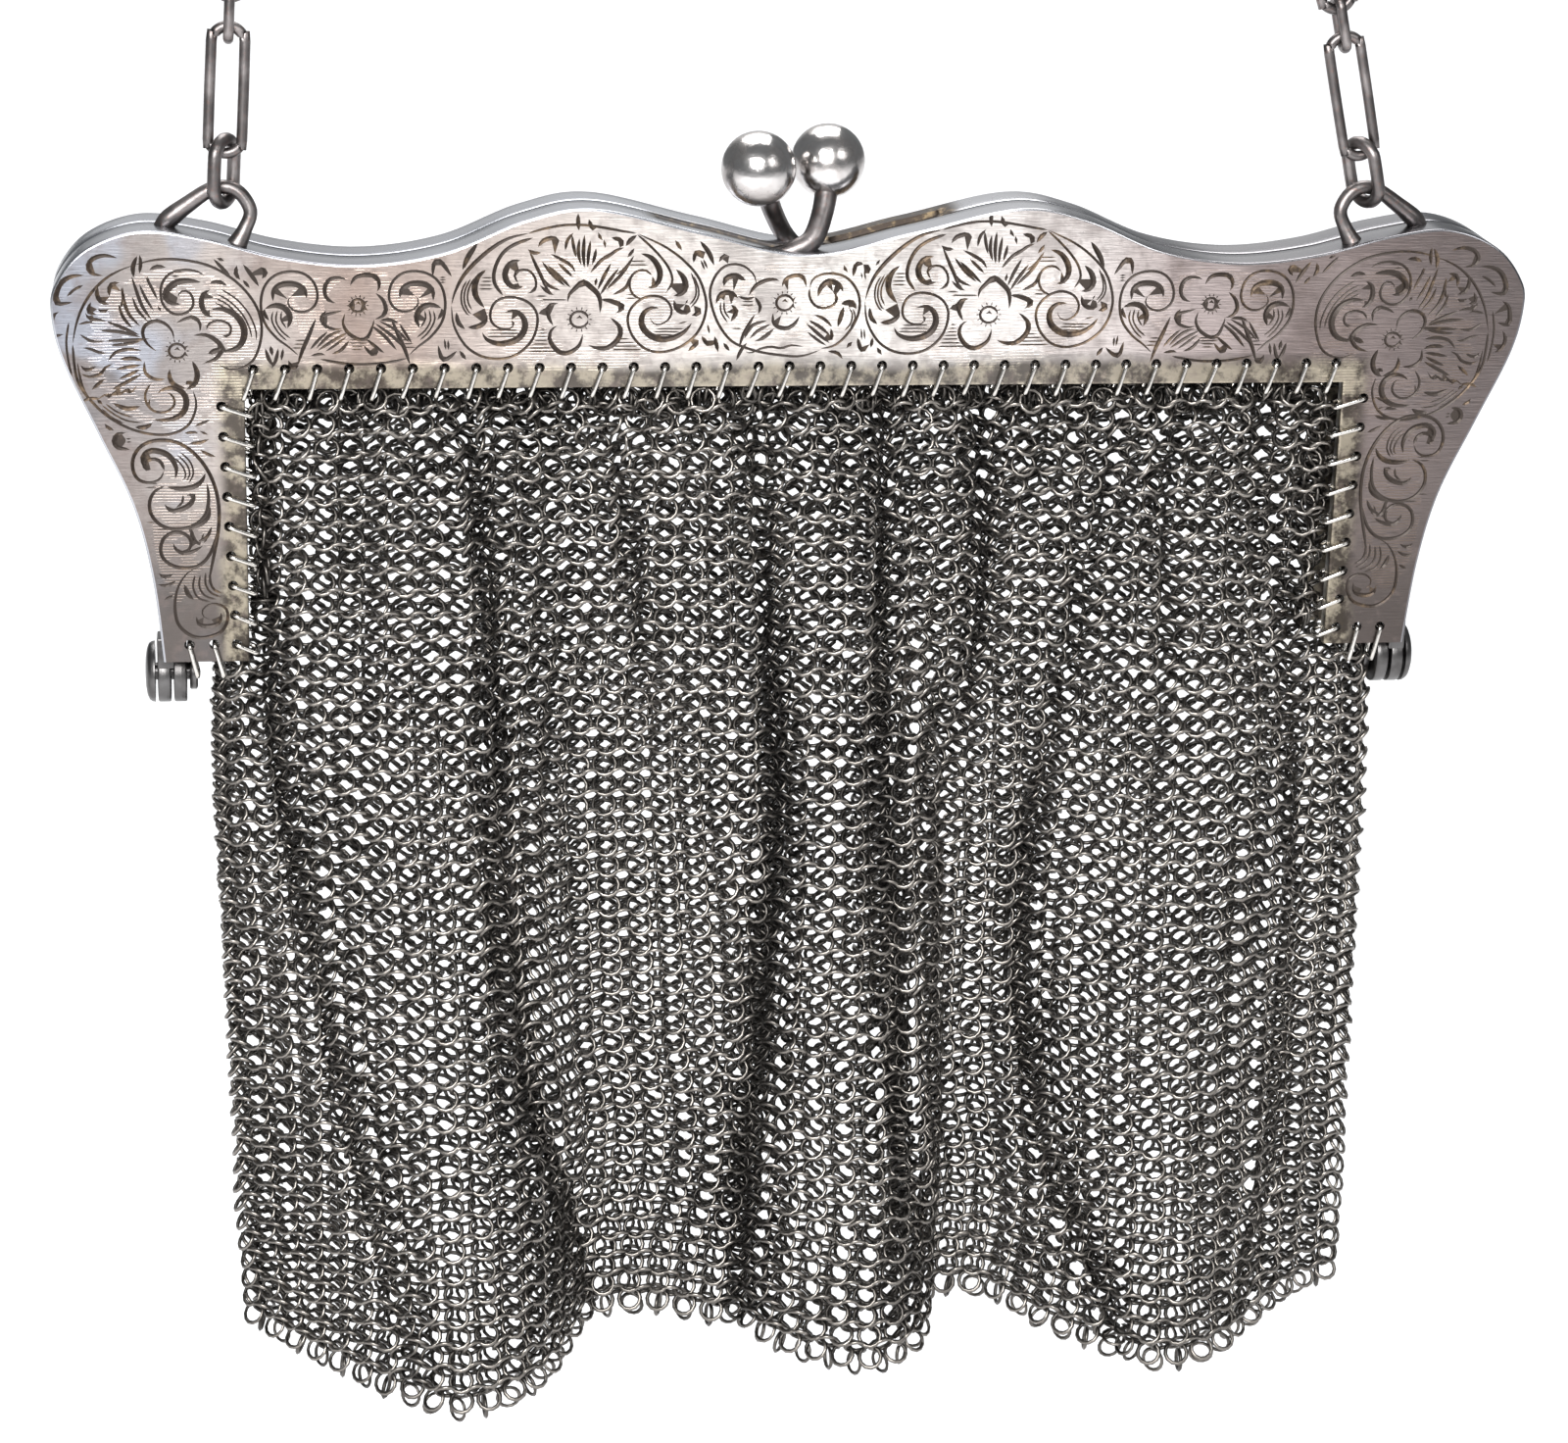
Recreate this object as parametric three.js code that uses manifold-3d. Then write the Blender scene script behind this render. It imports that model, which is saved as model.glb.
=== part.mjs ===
import * as THREE from 'three';
import { mergeVertices } from 'three/addons/utils/BufferGeometryUtils.js';
import Module from 'manifold-3d';

// An antique ring-mesh purse, hanging by its chain. Millimetres, +Z up, front towards -Y.
// The frame is worked out with x = 0 at its middle, y = 0 at its front face and z = 0 at
// the mouth line, the inner top edge that the mesh hangs from. At the end the whole purse
// moves so that the top of the chain loop lies at the origin.

// Frame plates
const OPENING_WIDTH = 112;
const LEG_LENGTH = 28.2;
const LEG_WIDTH = 8.6;
const SHOULDER_FLARE = 10;
const CREST_RISE = 18.1;
const FRAME_DEPTH = 9;
const PLATE = 1;
const RIM_WALL = 1;
const LIP_WALL = 0.6;
const LIP_DEPTH = 1.6;
const PART_GAP = 0.3;

// Sewing holes
const STITCH_PITCH = 3.15;
const STITCH_HOLE = 1;
const TOP_STITCH_RISE = 2.1;
const LEG_STITCH_SETBACK_TOP = 2.3;
const LEG_STITCH_SETBACK_FOOT = 1.25;
const LEG_STITCH_FIRST = 1.65;
const FOOT_STITCH_RISE = 1.8;
const FOOT_STITCH_PITCH = 2.5;
const FOOT_STITCH_SETBACK = 2.6;

// Thumb notches in the rim beside the clasp
const NOTCH_DEPTH = 0.5;
const NOTCH_BAND = 2.2;
const NOTCH_FROM = 2;
const NOTCH_TO = 15.5;

// Kiss clasp
const BALL = 7.5;
const CLASP_WIRE = 1.7;

// Hinges at the feet of the legs
const LUG = 6.3;
const LUG_THICK = 1.3;
const LUG_STANDS_OUT = 0.7;
const HINGE_DROP = 2.4;
const PIN = 1.8;
const PIN_CLEARANCE = 0.2;
const CAP_THICK = 1;
const TAIL = 3.8;
const TAIL_THICK = 0.8;
const LUG_FOOT = 2;

// Chain
const BAIL_WIRE = 1.4;
const LONG_LINK = { length: 13.5, width: 4.6, wire: 1.1, turn: 0 };
const SHORT_LINK = { length: 6.3, width: 3.6, wire: 1.05, turn: THREE.MathUtils.degToRad(90) };
const END_LINK = { length: 7.6, width: 5.4, wire: 1.35, turn: THREE.MathUtils.degToRad(60) };
const LONG_LINKS = 18;
const LINK_GAP = 0.15;
const LEFT_LEAN = THREE.MathUtils.degToRad(3);
const RIGHT_LEAN = THREE.MathUtils.degToRad(13);

// Mesh bag
const BAG_CLEARANCE = 0.1;
const BAG_DROP = 108;
const MESH_WALL = 1.4;
const MOUTH_DEPTH = 8.4;
const HEM_DEPTH = 3.6;
const HEM_SEAM = 2.2;
const FOLD_DEPTH = 16;
const FOLD_AT_MOUTH = 0.03;
const HEM_DIP = 4;
const HEM_SWING = 4;
const FOLD_GROWTH = 1.2;
const DIP_GROWTH = 2;
const SWING_GROWTH = 3;
const THINNING_GROWTH = 2;

// How finely curved pieces are cut
const ROUND = 14;
const HOLE_SIDES = 6;
const WIRE_SIDES = 8;
const BAIL_STEPS = 10;
const STEM_STEPS = 6;
const BAIL_SEARCH_STEPS = 60;
const LINK_STEPS = 10;
const LINK_WIRE_SIDES = 5;
const EDGE_STEPS = 22;
const BAG_STEPS = 26;

const OPENING_HALF = OPENING_WIDTH / 2;
const LEG_OUTER = OPENING_HALF + LEG_WIDTH;
const FRAME_HALF = LEG_OUTER + SHOULDER_FLARE;
const MID_DEPTH = FRAME_DEPTH / 2;
const WALL_DEPTH = MID_DEPTH - PART_GAP / 2;

// The rim from the middle to the widest point: shares of the half width and of the crest.
const TOP_EDGE = [
  { across: 0, rise: 0.745 },
  { across: 0.14, rise: 0.865 },
  { across: 0.285, rise: 1 },
  { across: 0.38, rise: 0.935 },
  { across: 0.485, rise: 0.76 },
  { across: 0.594, rise: 0.693 },
  { across: 0.7, rise: 0.735 },
  { across: 0.8, rise: 0.84 },
  { across: 0.885, rise: 0.88 },
  { across: 0.955, rise: 0.775 },
  { across: 0.994, rise: 0.585 },
  { across: 1, rise: 0.42 },
];
// The outside of a leg, down from there: shares of the flare left and of the way down.
const LEG_EDGE = [
  { flare: 0.9, down: 0.131 },
  { flare: 0.59, down: 0.33 },
  { flare: 0.26, down: 0.545 },
  { flare: 0.09, down: 0.757 },
  { flare: 0, down: 1 },
];
// The mesh below the legs: shares of the way to the hem and of the width gained.
const SKIRT = [
  { down: 0.025, spread: 0.88 },
  { down: 0.1, spread: 0.96 },
  { down: 0.25, spread: 1 },
  { down: 0.45, spread: 1 },
  { down: 0.67, spread: 1 },
  { down: 0.87, spread: 1 },
  { down: 1, spread: 1 },
];
// The folds across the bag, left to right: shares of the half width and of the fold depth.
const PLEATS = [
  { across: -1, forward: 0.02 },
  { across: -0.86, forward: 0.5 },
  { across: -0.65, forward: 1 },
  { across: -0.52, forward: 0.8 },
  { across: -0.41, forward: 0.12 },
  { across: -0.29, forward: 0.04 },
  { across: -0.15, forward: 0.22 },
  { across: 0, forward: 0.6 },
  { across: 0.11, forward: 0.72 },
  { across: 0.19, forward: 0.54 },
  { across: 0.215, forward: 0.06 },
  { across: 0.34, forward: 0 },
  { across: 0.47, forward: 0.34 },
  { across: 0.65, forward: 0.62 },
  { across: 0.77, forward: 0.48 },
  { across: 0.89, forward: 0.14 },
  { across: 1, forward: 0 },
];
const FOLD_MIDDLE = 0.38;
// The domed cap of a hinge pin, from its edge to its middle: shares of its radius and rise.
const CAP_DOME = [
  { out: 1, rise: 0 },
  { out: 0.92, rise: 0.6 },
  { out: 0.56, rise: 0.92 },
  { out: 0, rise: 1 },
];
// The left bail from its outer foot to its inner foot: how far in from the widest point in
// shares of the flare, above the crest line in shares of it, and shares of the frame's depth.
const BAIL = [
  { inset: 1.02, rise: -0.149, depth: 0.367 },
  { inset: 1.32, rise: -0.017, depth: 0.356 },
  { inset: 1.6, rise: 0.083, depth: 0.333 },
  { inset: 1.82, rise: 0.072, depth: 0.311 },
  { inset: 1.95, rise: -0.033, depth: 0.278 },
  { inset: 1.89, rise: -0.138, depth: 0.256 },
  { inset: 1.79, rise: -0.238, depth: 0.233 },
];
// Each clasp stem from its foot in the rim to the middle of its ball: to the right of the
// middle and above the rim there in balls, and behind its own half's face in frame depths.
const FRONT_STEM = [
  { right: -0.053, rise: -0.053, depth: 0.267 },
  { right: 0.093, rise: 0.133, depth: 0.278 },
  { right: 0.253, rise: 0.453, depth: 0.444 },
  { right: 0.36, rise: 1.093, depth: 0.733 },
];
const BACK_STEM = [
  { right: -0.16, rise: -0.053, depth: 0.267 },
  { right: -0.227, rise: 0.133, depth: 0.278 },
  { right: -0.4, rise: 0.453, depth: 0.444 },
  { right: -0.653, rise: 1.093, depth: 0.733 },
];

const wasm = await Module();
wasm.setup();

function finish(color, roughness, metalness = 1) {
  return new THREE.MeshStandardMaterial({ color, roughness, metalness });
}

// Turns a closed geometry into a solid, leaving out triangles that have closed up.
function toSolid(source) {
  const bare = source.index ? source.toNonIndexed() : source.clone();
  bare.deleteAttribute('normal');
  bare.deleteAttribute('uv');
  const merged = mergeVertices(bare, 1e-4);
  const corners = merged.index.array;
  const kept = [];
  for (let i = 0; i < corners.length; i += 3) {
    const [a, b, c] = [corners[i], corners[i + 1], corners[i + 2]];
    if (a !== b && b !== c && c !== a) kept.push(a, b, c);
  }
  const vertProperties = Float32Array.from(merged.attributes.position.array);
  return new wasm.Manifold(new wasm.Mesh({
    numProp: 3, vertProperties, triVerts: Uint32Array.from(kept),
  }));
}

function join(solids) {
  return solids.reduce((whole, solid) => whole.add(solid));
}

function toMesh(name, solid, material) {
  const { vertProperties, triVerts } = solid.getMesh();
  const geometry = new THREE.BufferGeometry();
  geometry.setAttribute('position', new THREE.BufferAttribute(vertProperties, 3));
  geometry.setIndex(new THREE.BufferAttribute(triVerts, 1));
  geometry.computeVertexNormals();
  const mesh = new THREE.Mesh(geometry, material);
  mesh.name = name;
  return mesh;
}

function smooth(points, steps) {
  return new THREE.SplineCurve(points).getPoints(steps);
}

// Half of the frame's outside edge, from the middle of the top to the foot of a leg.
function halfEdge() {
  const widest = TOP_EDGE.at(-1).rise * CREST_RISE;
  const top = TOP_EDGE.map(({ across, rise }) => (
    new THREE.Vector2(across * FRAME_HALF, rise * CREST_RISE)
  ));
  const leg = LEG_EDGE.map(({ flare, down }) => (
    new THREE.Vector2(LEG_OUTER + flare * SHOULDER_FLARE, widest - down * (widest + LEG_LENGTH))
  ));
  return smooth([...top, ...leg], EDGE_STEPS);
}

// The whole outside edge from the left foot over the top to the right foot.
function outerEdge() {
  const right = halfEdge();
  const left = right.slice(1).map(({ x, y }) => new THREE.Vector2(-x, y)).reverse();
  return [...left, ...right];
}

// The same edge moved inwards. Its two ends stay at the feet of the legs.
function insetEdge(edge, distance) {
  const last = edge.length - 1;
  return edge.map((point, i) => {
    const along = edge[Math.min(i + 1, last)].clone().sub(edge[Math.max(i - 1, 0)]).normalize();
    const moved = point.clone().add(new THREE.Vector2(along.y, -along.x).multiplyScalar(distance));
    if (i === 0 || i === last) moved.y = -LEG_LENGTH;
    return moved;
  });
}

// The mouth's edge from the right foot to the left foot, moved outwards by a distance.
function mouthEdge(distance) {
  const half = OPENING_HALF + distance;
  return [
    new THREE.Vector2(half, -LEG_LENGTH), new THREE.Vector2(half, distance),
    new THREE.Vector2(-half, distance), new THREE.Vector2(-half, -LEG_LENGTH),
  ];
}

// A flat shape made solid between two depths behind its own half's face.
function slab(points, near, far, half) {
  const geometry = new THREE.ExtrudeGeometry(new THREE.Shape(points), {
    depth: far - near, bevelEnabled: false, steps: 1,
  });
  const back = half === 'front' ? far : FRAME_DEPTH - near;
  return toSolid(geometry.rotateX(Math.PI / 2).translate(0, back, 0));
}

function box(low, high) {
  const size = high.clone().sub(low);
  const middle = low.clone().add(high).multiplyScalar(0.5);
  return toSolid(new THREE.BoxGeometry(size.x, size.y, size.z).translate(middle.x, middle.y, middle.z));
}

function circle(radius, sides) {
  return Array.from({ length: sides }, (_, i) => {
    const angle = (2 * Math.PI * (i + 0.5)) / sides;
    return new THREE.Vector2(radius * Math.cos(angle), radius * Math.sin(angle));
  });
}

function wireAlong(points, wire, steps) {
  const geometry = new THREE.ExtrudeGeometry(new THREE.Shape(circle(wire / 2, WIRE_SIDES)), {
    extrudePath: new THREE.CatmullRomCurve3(points), steps, bevelEnabled: false,
  });
  return toSolid(geometry);
}

// Where the thread rings pass through a plate: a row under the rim and one down each leg.
function stitchHoles() {
  const spots = [];
  const topCount = Math.floor((OPENING_WIDTH - STITCH_PITCH / 2) / STITCH_PITCH) + 1;
  for (let i = 0; i < topCount; i += 1) {
    spots.push(new THREE.Vector2((i - (topCount - 1) / 2) * STITCH_PITCH, TOP_STITCH_RISE));
  }
  const legSteps = Math.floor(LEG_LENGTH / STITCH_PITCH);
  const footSteps = Math.floor((LEG_WIDTH - FOOT_STITCH_SETBACK - RIM_WALL) / FOOT_STITCH_PITCH);
  const foot = -LEG_LENGTH + FOOT_STITCH_RISE;
  for (const side of [-1, 1]) {
    for (let i = 0; i <= legSteps; i += 1) {
      const share = i / legSteps;
      const setback = THREE.MathUtils.lerp(LEG_STITCH_SETBACK_TOP, LEG_STITCH_SETBACK_FOOT, share);
      const height = THREE.MathUtils.lerp(-LEG_STITCH_FIRST, foot, share);
      spots.push(new THREE.Vector2(side * (OPENING_HALF + setback), height));
    }
    for (let i = 0; i < footSteps; i += 1) {
      const across = LEG_OUTER - FOOT_STITCH_SETBACK - i * FOOT_STITCH_PITCH;
      spots.push(new THREE.Vector2(side * across, foot));
    }
  }
  return spots;
}

function stitchCuts(half) {
  return stitchHoles().map((spot) => {
    const ring = circle(STITCH_HOLE / 2, HOLE_SIDES).map((point) => point.add(spot));
    return slab(ring, -PLATE, 2 * PLATE, half);
  });
}

// The strip of rim that a thumb notch takes away: left of the clasp on the front half and
// right of it on the back half.
function notchCut(edge, half) {
  const side = half === 'front' ? -1 : 1;
  const near = edge.filter(({ x }) => x * side > NOTCH_FROM && x * side < NOTCH_TO);
  const under = near.map(({ x, y }) => new THREE.Vector2(x, y - NOTCH_DEPTH));
  const over = near.map(({ x, y }) => new THREE.Vector2(x, y + NOTCH_DEPTH)).reverse();
  return slab([...under, ...over], NOTCH_BAND, FRAME_DEPTH / 2, half);
}

const HINGE_HEIGHT = -LEG_LENGTH - HINGE_DROP;
const OUTER_LUG_FACE = LEG_OUTER + LUG_STANDS_OUT;
const INNER_LUG_FACE = OUTER_LUG_FACE - LUG_THICK - PART_GAP;
const TAIL_FACE = INNER_LUG_FACE - LUG_THICK - PART_GAP;
const PIN_END = TAIL_FACE - TAIL_THICK;

function across(diameter, left, right, sides) {
  const geometry = new THREE.CylinderGeometry(diameter / 2, diameter / 2, right - left, sides);
  geometry.rotateZ(Math.PI / 2).translate((left + right) / 2, MID_DEPTH, HINGE_HEIGHT);
  return toSolid(geometry);
}

// A hinge lug at the right foot: a disc cut clear of the other half, and the foot block that
// joins it to its own rim wall. The front half has the outer disc.
function hingeLug(half) {
  const face = half === 'front' ? OUTER_LUG_FACE : INNER_LUG_FACE;
  const inner = face - LUG_THICK;
  const disc = across(LUG, inner, face, ROUND);
  const bore = across(PIN + 2 * PIN_CLEARANCE, inner - PIN, face + PIN, ROUND);
  const reach = LUG + FRAME_DEPTH;
  const top = -LEG_LENGTH + LUG_FOOT;
  const low = half === 'front' ? MID_DEPTH - PART_GAP / 2 : -reach;
  const high = half === 'front' ? reach : MID_DEPTH + PART_GAP / 2;
  const otherSide = box(
    new THREE.Vector3(inner - PIN, low, -LEG_LENGTH - PART_GAP),
    new THREE.Vector3(face + PIN, high, top + LUG),
  );
  const nearWall = [MID_DEPTH - LUG / 2, MID_DEPTH - PART_GAP / 2];
  const [from, to] = half === 'front' ? nearWall : nearWall.map((y) => FRAME_DEPTH - y).reverse();
  const block = box(
    new THREE.Vector3(Math.min(inner, LEG_OUTER - RIM_WALL), from, -LEG_LENGTH - PART_GAP),
    new THREE.Vector3(Math.max(face, LEG_OUTER - RIM_WALL / 2), to, top),
  );
  return disc.subtract(otherSide).add(block).subtract(bore);
}

function mirrorAcross(solid) {
  const { vertProperties, triVerts } = solid.getMesh();
  const geometry = new THREE.BufferGeometry();
  const flipped = triVerts.map((_, i) => triVerts[i - (i % 3) + (2 - (i % 3))]);
  geometry.setAttribute('position', new THREE.BufferAttribute(vertProperties.slice(), 3));
  geometry.setIndex(new THREE.BufferAttribute(flipped, 1));
  return toSolid(geometry.scale(-1, 1, 1));
}

function bailPoints(side) {
  return BAIL.map(({ inset, rise, depth }) => (
    new THREE.Vector3(
      side * (FRAME_HALF - inset * SHOULDER_FLARE), depth * FRAME_DEPTH, (1 + rise) * CREST_RISE,
    )
  ));
}

function bail(side) {
  return wireAlong(bailPoints(side), BAIL_WIRE, BAIL_STEPS);
}

function clasp(half) {
  const rim = TOP_EDGE[0].rise * CREST_RISE;
  const points = (half === 'front' ? FRONT_STEM : BACK_STEM).map(({ right, rise, depth }) => (
    new THREE.Vector3(
      right * BALL, (half === 'front' ? depth : 1 - depth) * FRAME_DEPTH, rim + rise * BALL,
    )
  ));
  const end = points.at(-1);
  const ball = new THREE.SphereGeometry(BALL / 2, ROUND, ROUND / 2 + 1).rotateX(Math.PI / 2);
  return wireAlong(points, CLASP_WIRE, STEM_STEPS).add(toSolid(ball.translate(end.x, end.y, end.z)));
}

function frameHalf(half) {
  const edge = outerEdge();
  const plate = slab([...edge, ...mouthEdge(0)], 0, PLATE, half);
  const rim = slab([...edge, ...insetEdge(edge, RIM_WALL).reverse()], 0, WALL_DEPTH, half);
  const lip = slab([...mouthEdge(0), ...mouthEdge(LIP_WALL).reverse()], 0, LIP_DEPTH, half);
  const pierced = join([plate, rim, lip])
    .subtract(join(stitchCuts(half)))
    .subtract(notchCut(edge, half));
  const lug = hingeLug(half);
  const whole = join([pierced, lug, mirrorAcross(lug), clasp(half)]);
  return half === 'front' ? join([whole, bail(-1), bail(1)]) : whole;
}

// The pin through both lugs at the right foot: a domed cap outside and a small flat tail.
function hingePin() {
  const capFace = OUTER_LUG_FACE + PART_GAP;
  const dome = CAP_DOME.map(({ out, rise }) => [(LUG / 2) * out, capFace + CAP_THICK * rise]);
  const profile = [
    [0, PIN_END], [TAIL / 2, PIN_END], [TAIL / 2, TAIL_FACE],
    [PIN / 2, TAIL_FACE], [PIN / 2, capFace], ...dome,
  ].map(([radius, along]) => new THREE.Vector2(radius, along));
  const geometry = new THREE.LatheGeometry(profile, ROUND).rotateZ(-Math.PI / 2);
  return toSolid(geometry.translate(0, MID_DEPTH, HINGE_HEIGHT));
}

// The folds as a curve across the bag at one level, in the plane seen from above.
function foldCurve(halfWidth, foldDepth, swing) {
  const points = PLEATS.map(({ across: share, forward }) => new THREE.Vector3(
    share * halfWidth + swing,
    MID_DEPTH - (forward - FOLD_MIDDLE) * foldDepth,
    forward,
  ));
  return new THREE.CatmullRomCurve3(points, false, 'centripetal');
}

// The bag's levels from the mouth to the hem: between the legs, then below them, where it is
// as wide as it can be between the hinge pins' inner ends.
function bagLevels() {
  const mouthHalf = OPENING_HALF - PART_GAP;
  const gained = PIN_END - BAG_CLEARANCE - mouthHalf;
  const hinge = LEG_LENGTH + PART_GAP;
  const levels = [PART_GAP, hinge / 2, hinge].map((drop) => ({ drop, half: mouthHalf }));
  for (const { down, spread } of SKIRT) {
    levels.push({ drop: hinge + down * (BAG_DROP - hinge), half: mouthHalf + spread * gained });
  }
  return levels.map(({ drop, half }) => {
    const share = drop / BAG_DROP;
    const depth = THREE.MathUtils.lerp(MOUTH_DEPTH, HEM_DEPTH, share ** THINNING_GROWTH);
    return { drop, half, share, depth };
  });
}

// One ring of points round the bag at a level: along the front from left to right and back
// along the rear. A thickness of nothing closes the bag's bottom.
function bagRing({ drop, half, share }, inset, thickness) {
  const fold = FOLD_DEPTH * THREE.MathUtils.lerp(FOLD_AT_MOUTH, 1, share ** FOLD_GROWTH);
  const curve = foldCurve(half - inset, fold, HEM_SWING * share ** SWING_GROWTH);
  const front = [];
  const rear = [];
  for (let i = 0; i <= BAG_STEPS; i += 1) {
    const spot = curve.getPointAt(i / BAG_STEPS);
    const along = curve.getTangentAt(i / BAG_STEPS);
    const sideways = along.y * share ** DIP_GROWTH;
    const outwards = new THREE.Vector2(sideways, -along.x).setLength(thickness / 2);
    const height = -drop - HEM_DIP * spot.z * share ** DIP_GROWTH;
    front.push(new THREE.Vector3(spot.x + outwards.x, spot.y + outwards.y, height));
    rear.push(new THREE.Vector3(spot.x - outwards.x, spot.y - outwards.y, height));
  }
  return [...front, ...rear.reverse()];
}

// The bag is one wall: up its inside from the seam, over the mouth and down its outside.
function meshBag() {
  const levels = bagLevels();
  const seam = { ...levels.at(-1), drop: BAG_DROP - HEM_SEAM };
  const inside = levels.slice(0, -1).map((level) => (
    bagRing(level, MESH_WALL, level.depth - 2 * MESH_WALL)
  ));
  const outside = levels.map((level) => bagRing(level, 0, level.depth));
  const rings = [
    bagRing(seam, MESH_WALL, 0), ...inside.reverse(), ...outside, bagRing(levels.at(-1), 0, 0),
  ];
  const around = rings[0].length;
  const positions = rings.flat().flatMap(({ x, y, z }) => [x, y, z]);
  const corners = [];
  for (let row = 0; row < rings.length - 1; row += 1) {
    for (let i = 0; i < around; i += 1) {
      const [a, b] = [row * around + i, row * around + ((i + 1) % around)];
      corners.push(a, b + around, b, a, a + around, b + around);
    }
  }
  const geometry = new THREE.BufferGeometry();
  geometry.setAttribute('position', new THREE.Float32BufferAttribute(positions, 3));
  geometry.setIndex(corners);
  return toSolid(geometry);
}

// An oval link standing upright, with straight sides and round ends.
function link({ length, width, wire }) {
  const ring = new THREE.TorusGeometry((width - wire) / 2, wire / 2, LINK_WIRE_SIDES, LINK_STEPS);
  ring.rotateZ(Math.PI / LINK_STEPS);
  const positions = ring.attributes.position;
  const straight = (length - width) / 2;
  for (let i = 0; i < positions.count; i += 1) {
    positions.setY(i, positions.getY(i) + Math.sign(positions.getY(i)) * straight);
  }
  return toSolid(ring.rotateX(Math.PI / 2));
}

function linkPitch(a, b) {
  return (a.length + b.length) / 2 - a.wire - b.wire - LINK_GAP;
}

// The links in order from the left bail to the right one, each with its distance along.
function chainOrder() {
  const kinds = [END_LINK];
  for (let i = 0; i < LONG_LINKS; i += 1) {
    kinds.push(LONG_LINK, i < LONG_LINKS - 1 ? SHORT_LINK : END_LINK);
  }
  const first = END_LINK.length / 2 - END_LINK.wire - BAIL_WIRE / 2 - LINK_GAP;
  let at = first;
  const order = kinds.map((kind, i) => {
    if (i > 0) at += linkPitch(kinds[i - 1], kind);
    return { kind, at };
  });
  return { order, length: at + first };
}

// The chain's route: up from each bail along its own lean, and round one arc at the top,
// whose radius makes the whole route as long as the chain.
function chainRoute(length) {
  const [left, right] = [-1, 1].map((side) => {
    const bail = new THREE.CatmullRomCurve3(bailPoints(side)).getPoints(BAIL_SEARCH_STEPS);
    return bail.reduce((high, point) => (point.z > high.z ? point : high));
  });
  const up = [
    new THREE.Vector2(Math.sin(LEFT_LEAN), Math.cos(LEFT_LEAN)),
    new THREE.Vector2(-Math.sin(RIGHT_LEAN), Math.cos(RIGHT_LEAN)),
  ];
  const inwards = [new THREE.Vector2(up[0].y, -up[0].x), new THREE.Vector2(-up[1].y, up[1].x)];
  const span = new THREE.Vector2(right.x - left.x, right.z - left.z);
  const turn = Math.PI - LEFT_LEAN - RIGHT_LEAN;
  const solve = (target) => {
    const det = up[1].x * up[0].y - up[0].x * up[1].y;
    return [
      (up[1].x * target.y - up[1].y * target.x) / det,
      (up[0].x * target.y - up[0].y * target.x) / det,
    ];
  };
  const meet = solve(span);
  const perRadius = solve(inwards[1].clone().sub(inwards[0]));
  const radius = (length - meet[0] - meet[1]) / (perRadius[0] + perRadius[1] + turn);
  const rise = [meet[0] + perRadius[0] * radius, meet[1] + perRadius[1] * radius];
  const start = new THREE.Vector2(left.x, left.z);
  const end = new THREE.Vector2(right.x, right.z);
  const centre = start.clone().addScaledVector(up[0], rise[0]).addScaledVector(inwards[0], radius);
  const at = (distance) => {
    if (distance < rise[0]) {
      return { spot: start.clone().addScaledVector(up[0], distance), lean: LEFT_LEAN };
    }
    const past = (distance - rise[0]) / radius;
    if (past < turn) {
      const lean = LEFT_LEAN + past;
      const out = new THREE.Vector2(-Math.cos(lean), Math.sin(lean));
      return { spot: centre.clone().addScaledVector(out, radius), lean };
    }
    const over = length - distance;
    return { spot: end.clone().addScaledVector(up[1], over), lean: -RIGHT_LEAN };
  };
  return { at, depth: left.y, top: centre.clone().add(new THREE.Vector2(0, radius)) };
}

const silver = finish(0xb4a8a6, 0.35);
const polished = finish(0xd0d0d4, 0.2);
const gunmetal = finish(0x5e5850, 0.5);
const darkSteel = finish(0x4c4a49, 0.45);

const purse = new THREE.Group();
purse.add(toMesh('front_frame', frameHalf('front'), silver));
purse.add(toMesh('back_frame', frameHalf('back'), silver));
const rightPin = toMesh('hinge_pin_right', hingePin(), polished);
const leftPin = toMesh('hinge_pin_left', mirrorAcross(hingePin()), polished);
purse.add(rightPin, leftPin);
purse.add(toMesh('mesh_bag', meshBag(), gunmetal));

const { order, length: chainLength } = chainOrder();
const route = chainRoute(chainLength);
order.forEach(({ kind, at }, i) => {
  const { spot, lean } = route.at(at);
  const name = `chain_link_${String(i + 1).padStart(2, '0')}`;
  const piece = toMesh(name, link(kind), darkSteel);
  piece.rotation.set(0, lean, i < order.length / 2 ? kind.turn : -kind.turn, 'YZX');
  piece.position.set(spot.x, route.depth, spot.y);
  purse.add(piece);
});

// The origin is where the purse hangs: the top of the chain loop.
purse.position.set(-route.top.x, -route.depth, -route.top.y);

export default purse;
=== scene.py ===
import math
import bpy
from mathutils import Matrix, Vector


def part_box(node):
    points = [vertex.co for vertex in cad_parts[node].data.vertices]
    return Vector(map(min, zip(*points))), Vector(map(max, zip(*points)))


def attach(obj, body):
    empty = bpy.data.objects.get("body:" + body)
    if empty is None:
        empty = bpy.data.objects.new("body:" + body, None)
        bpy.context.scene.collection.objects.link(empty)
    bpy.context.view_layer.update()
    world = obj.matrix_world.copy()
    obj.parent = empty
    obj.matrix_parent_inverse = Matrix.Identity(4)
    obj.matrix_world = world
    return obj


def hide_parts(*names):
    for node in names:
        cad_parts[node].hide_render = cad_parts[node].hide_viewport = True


bl_info = {
    "name": "Ring-mesh purse",
    "version": (1, 0, 0),
    "blender": (4, 5, 0),
    "location": "View3D > Sidebar > Purse",
    "description": "Builds the engraved frame, kiss clasp, ring mesh and chain of a hanging purse",
    "category": "Add Mesh",
}

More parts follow.
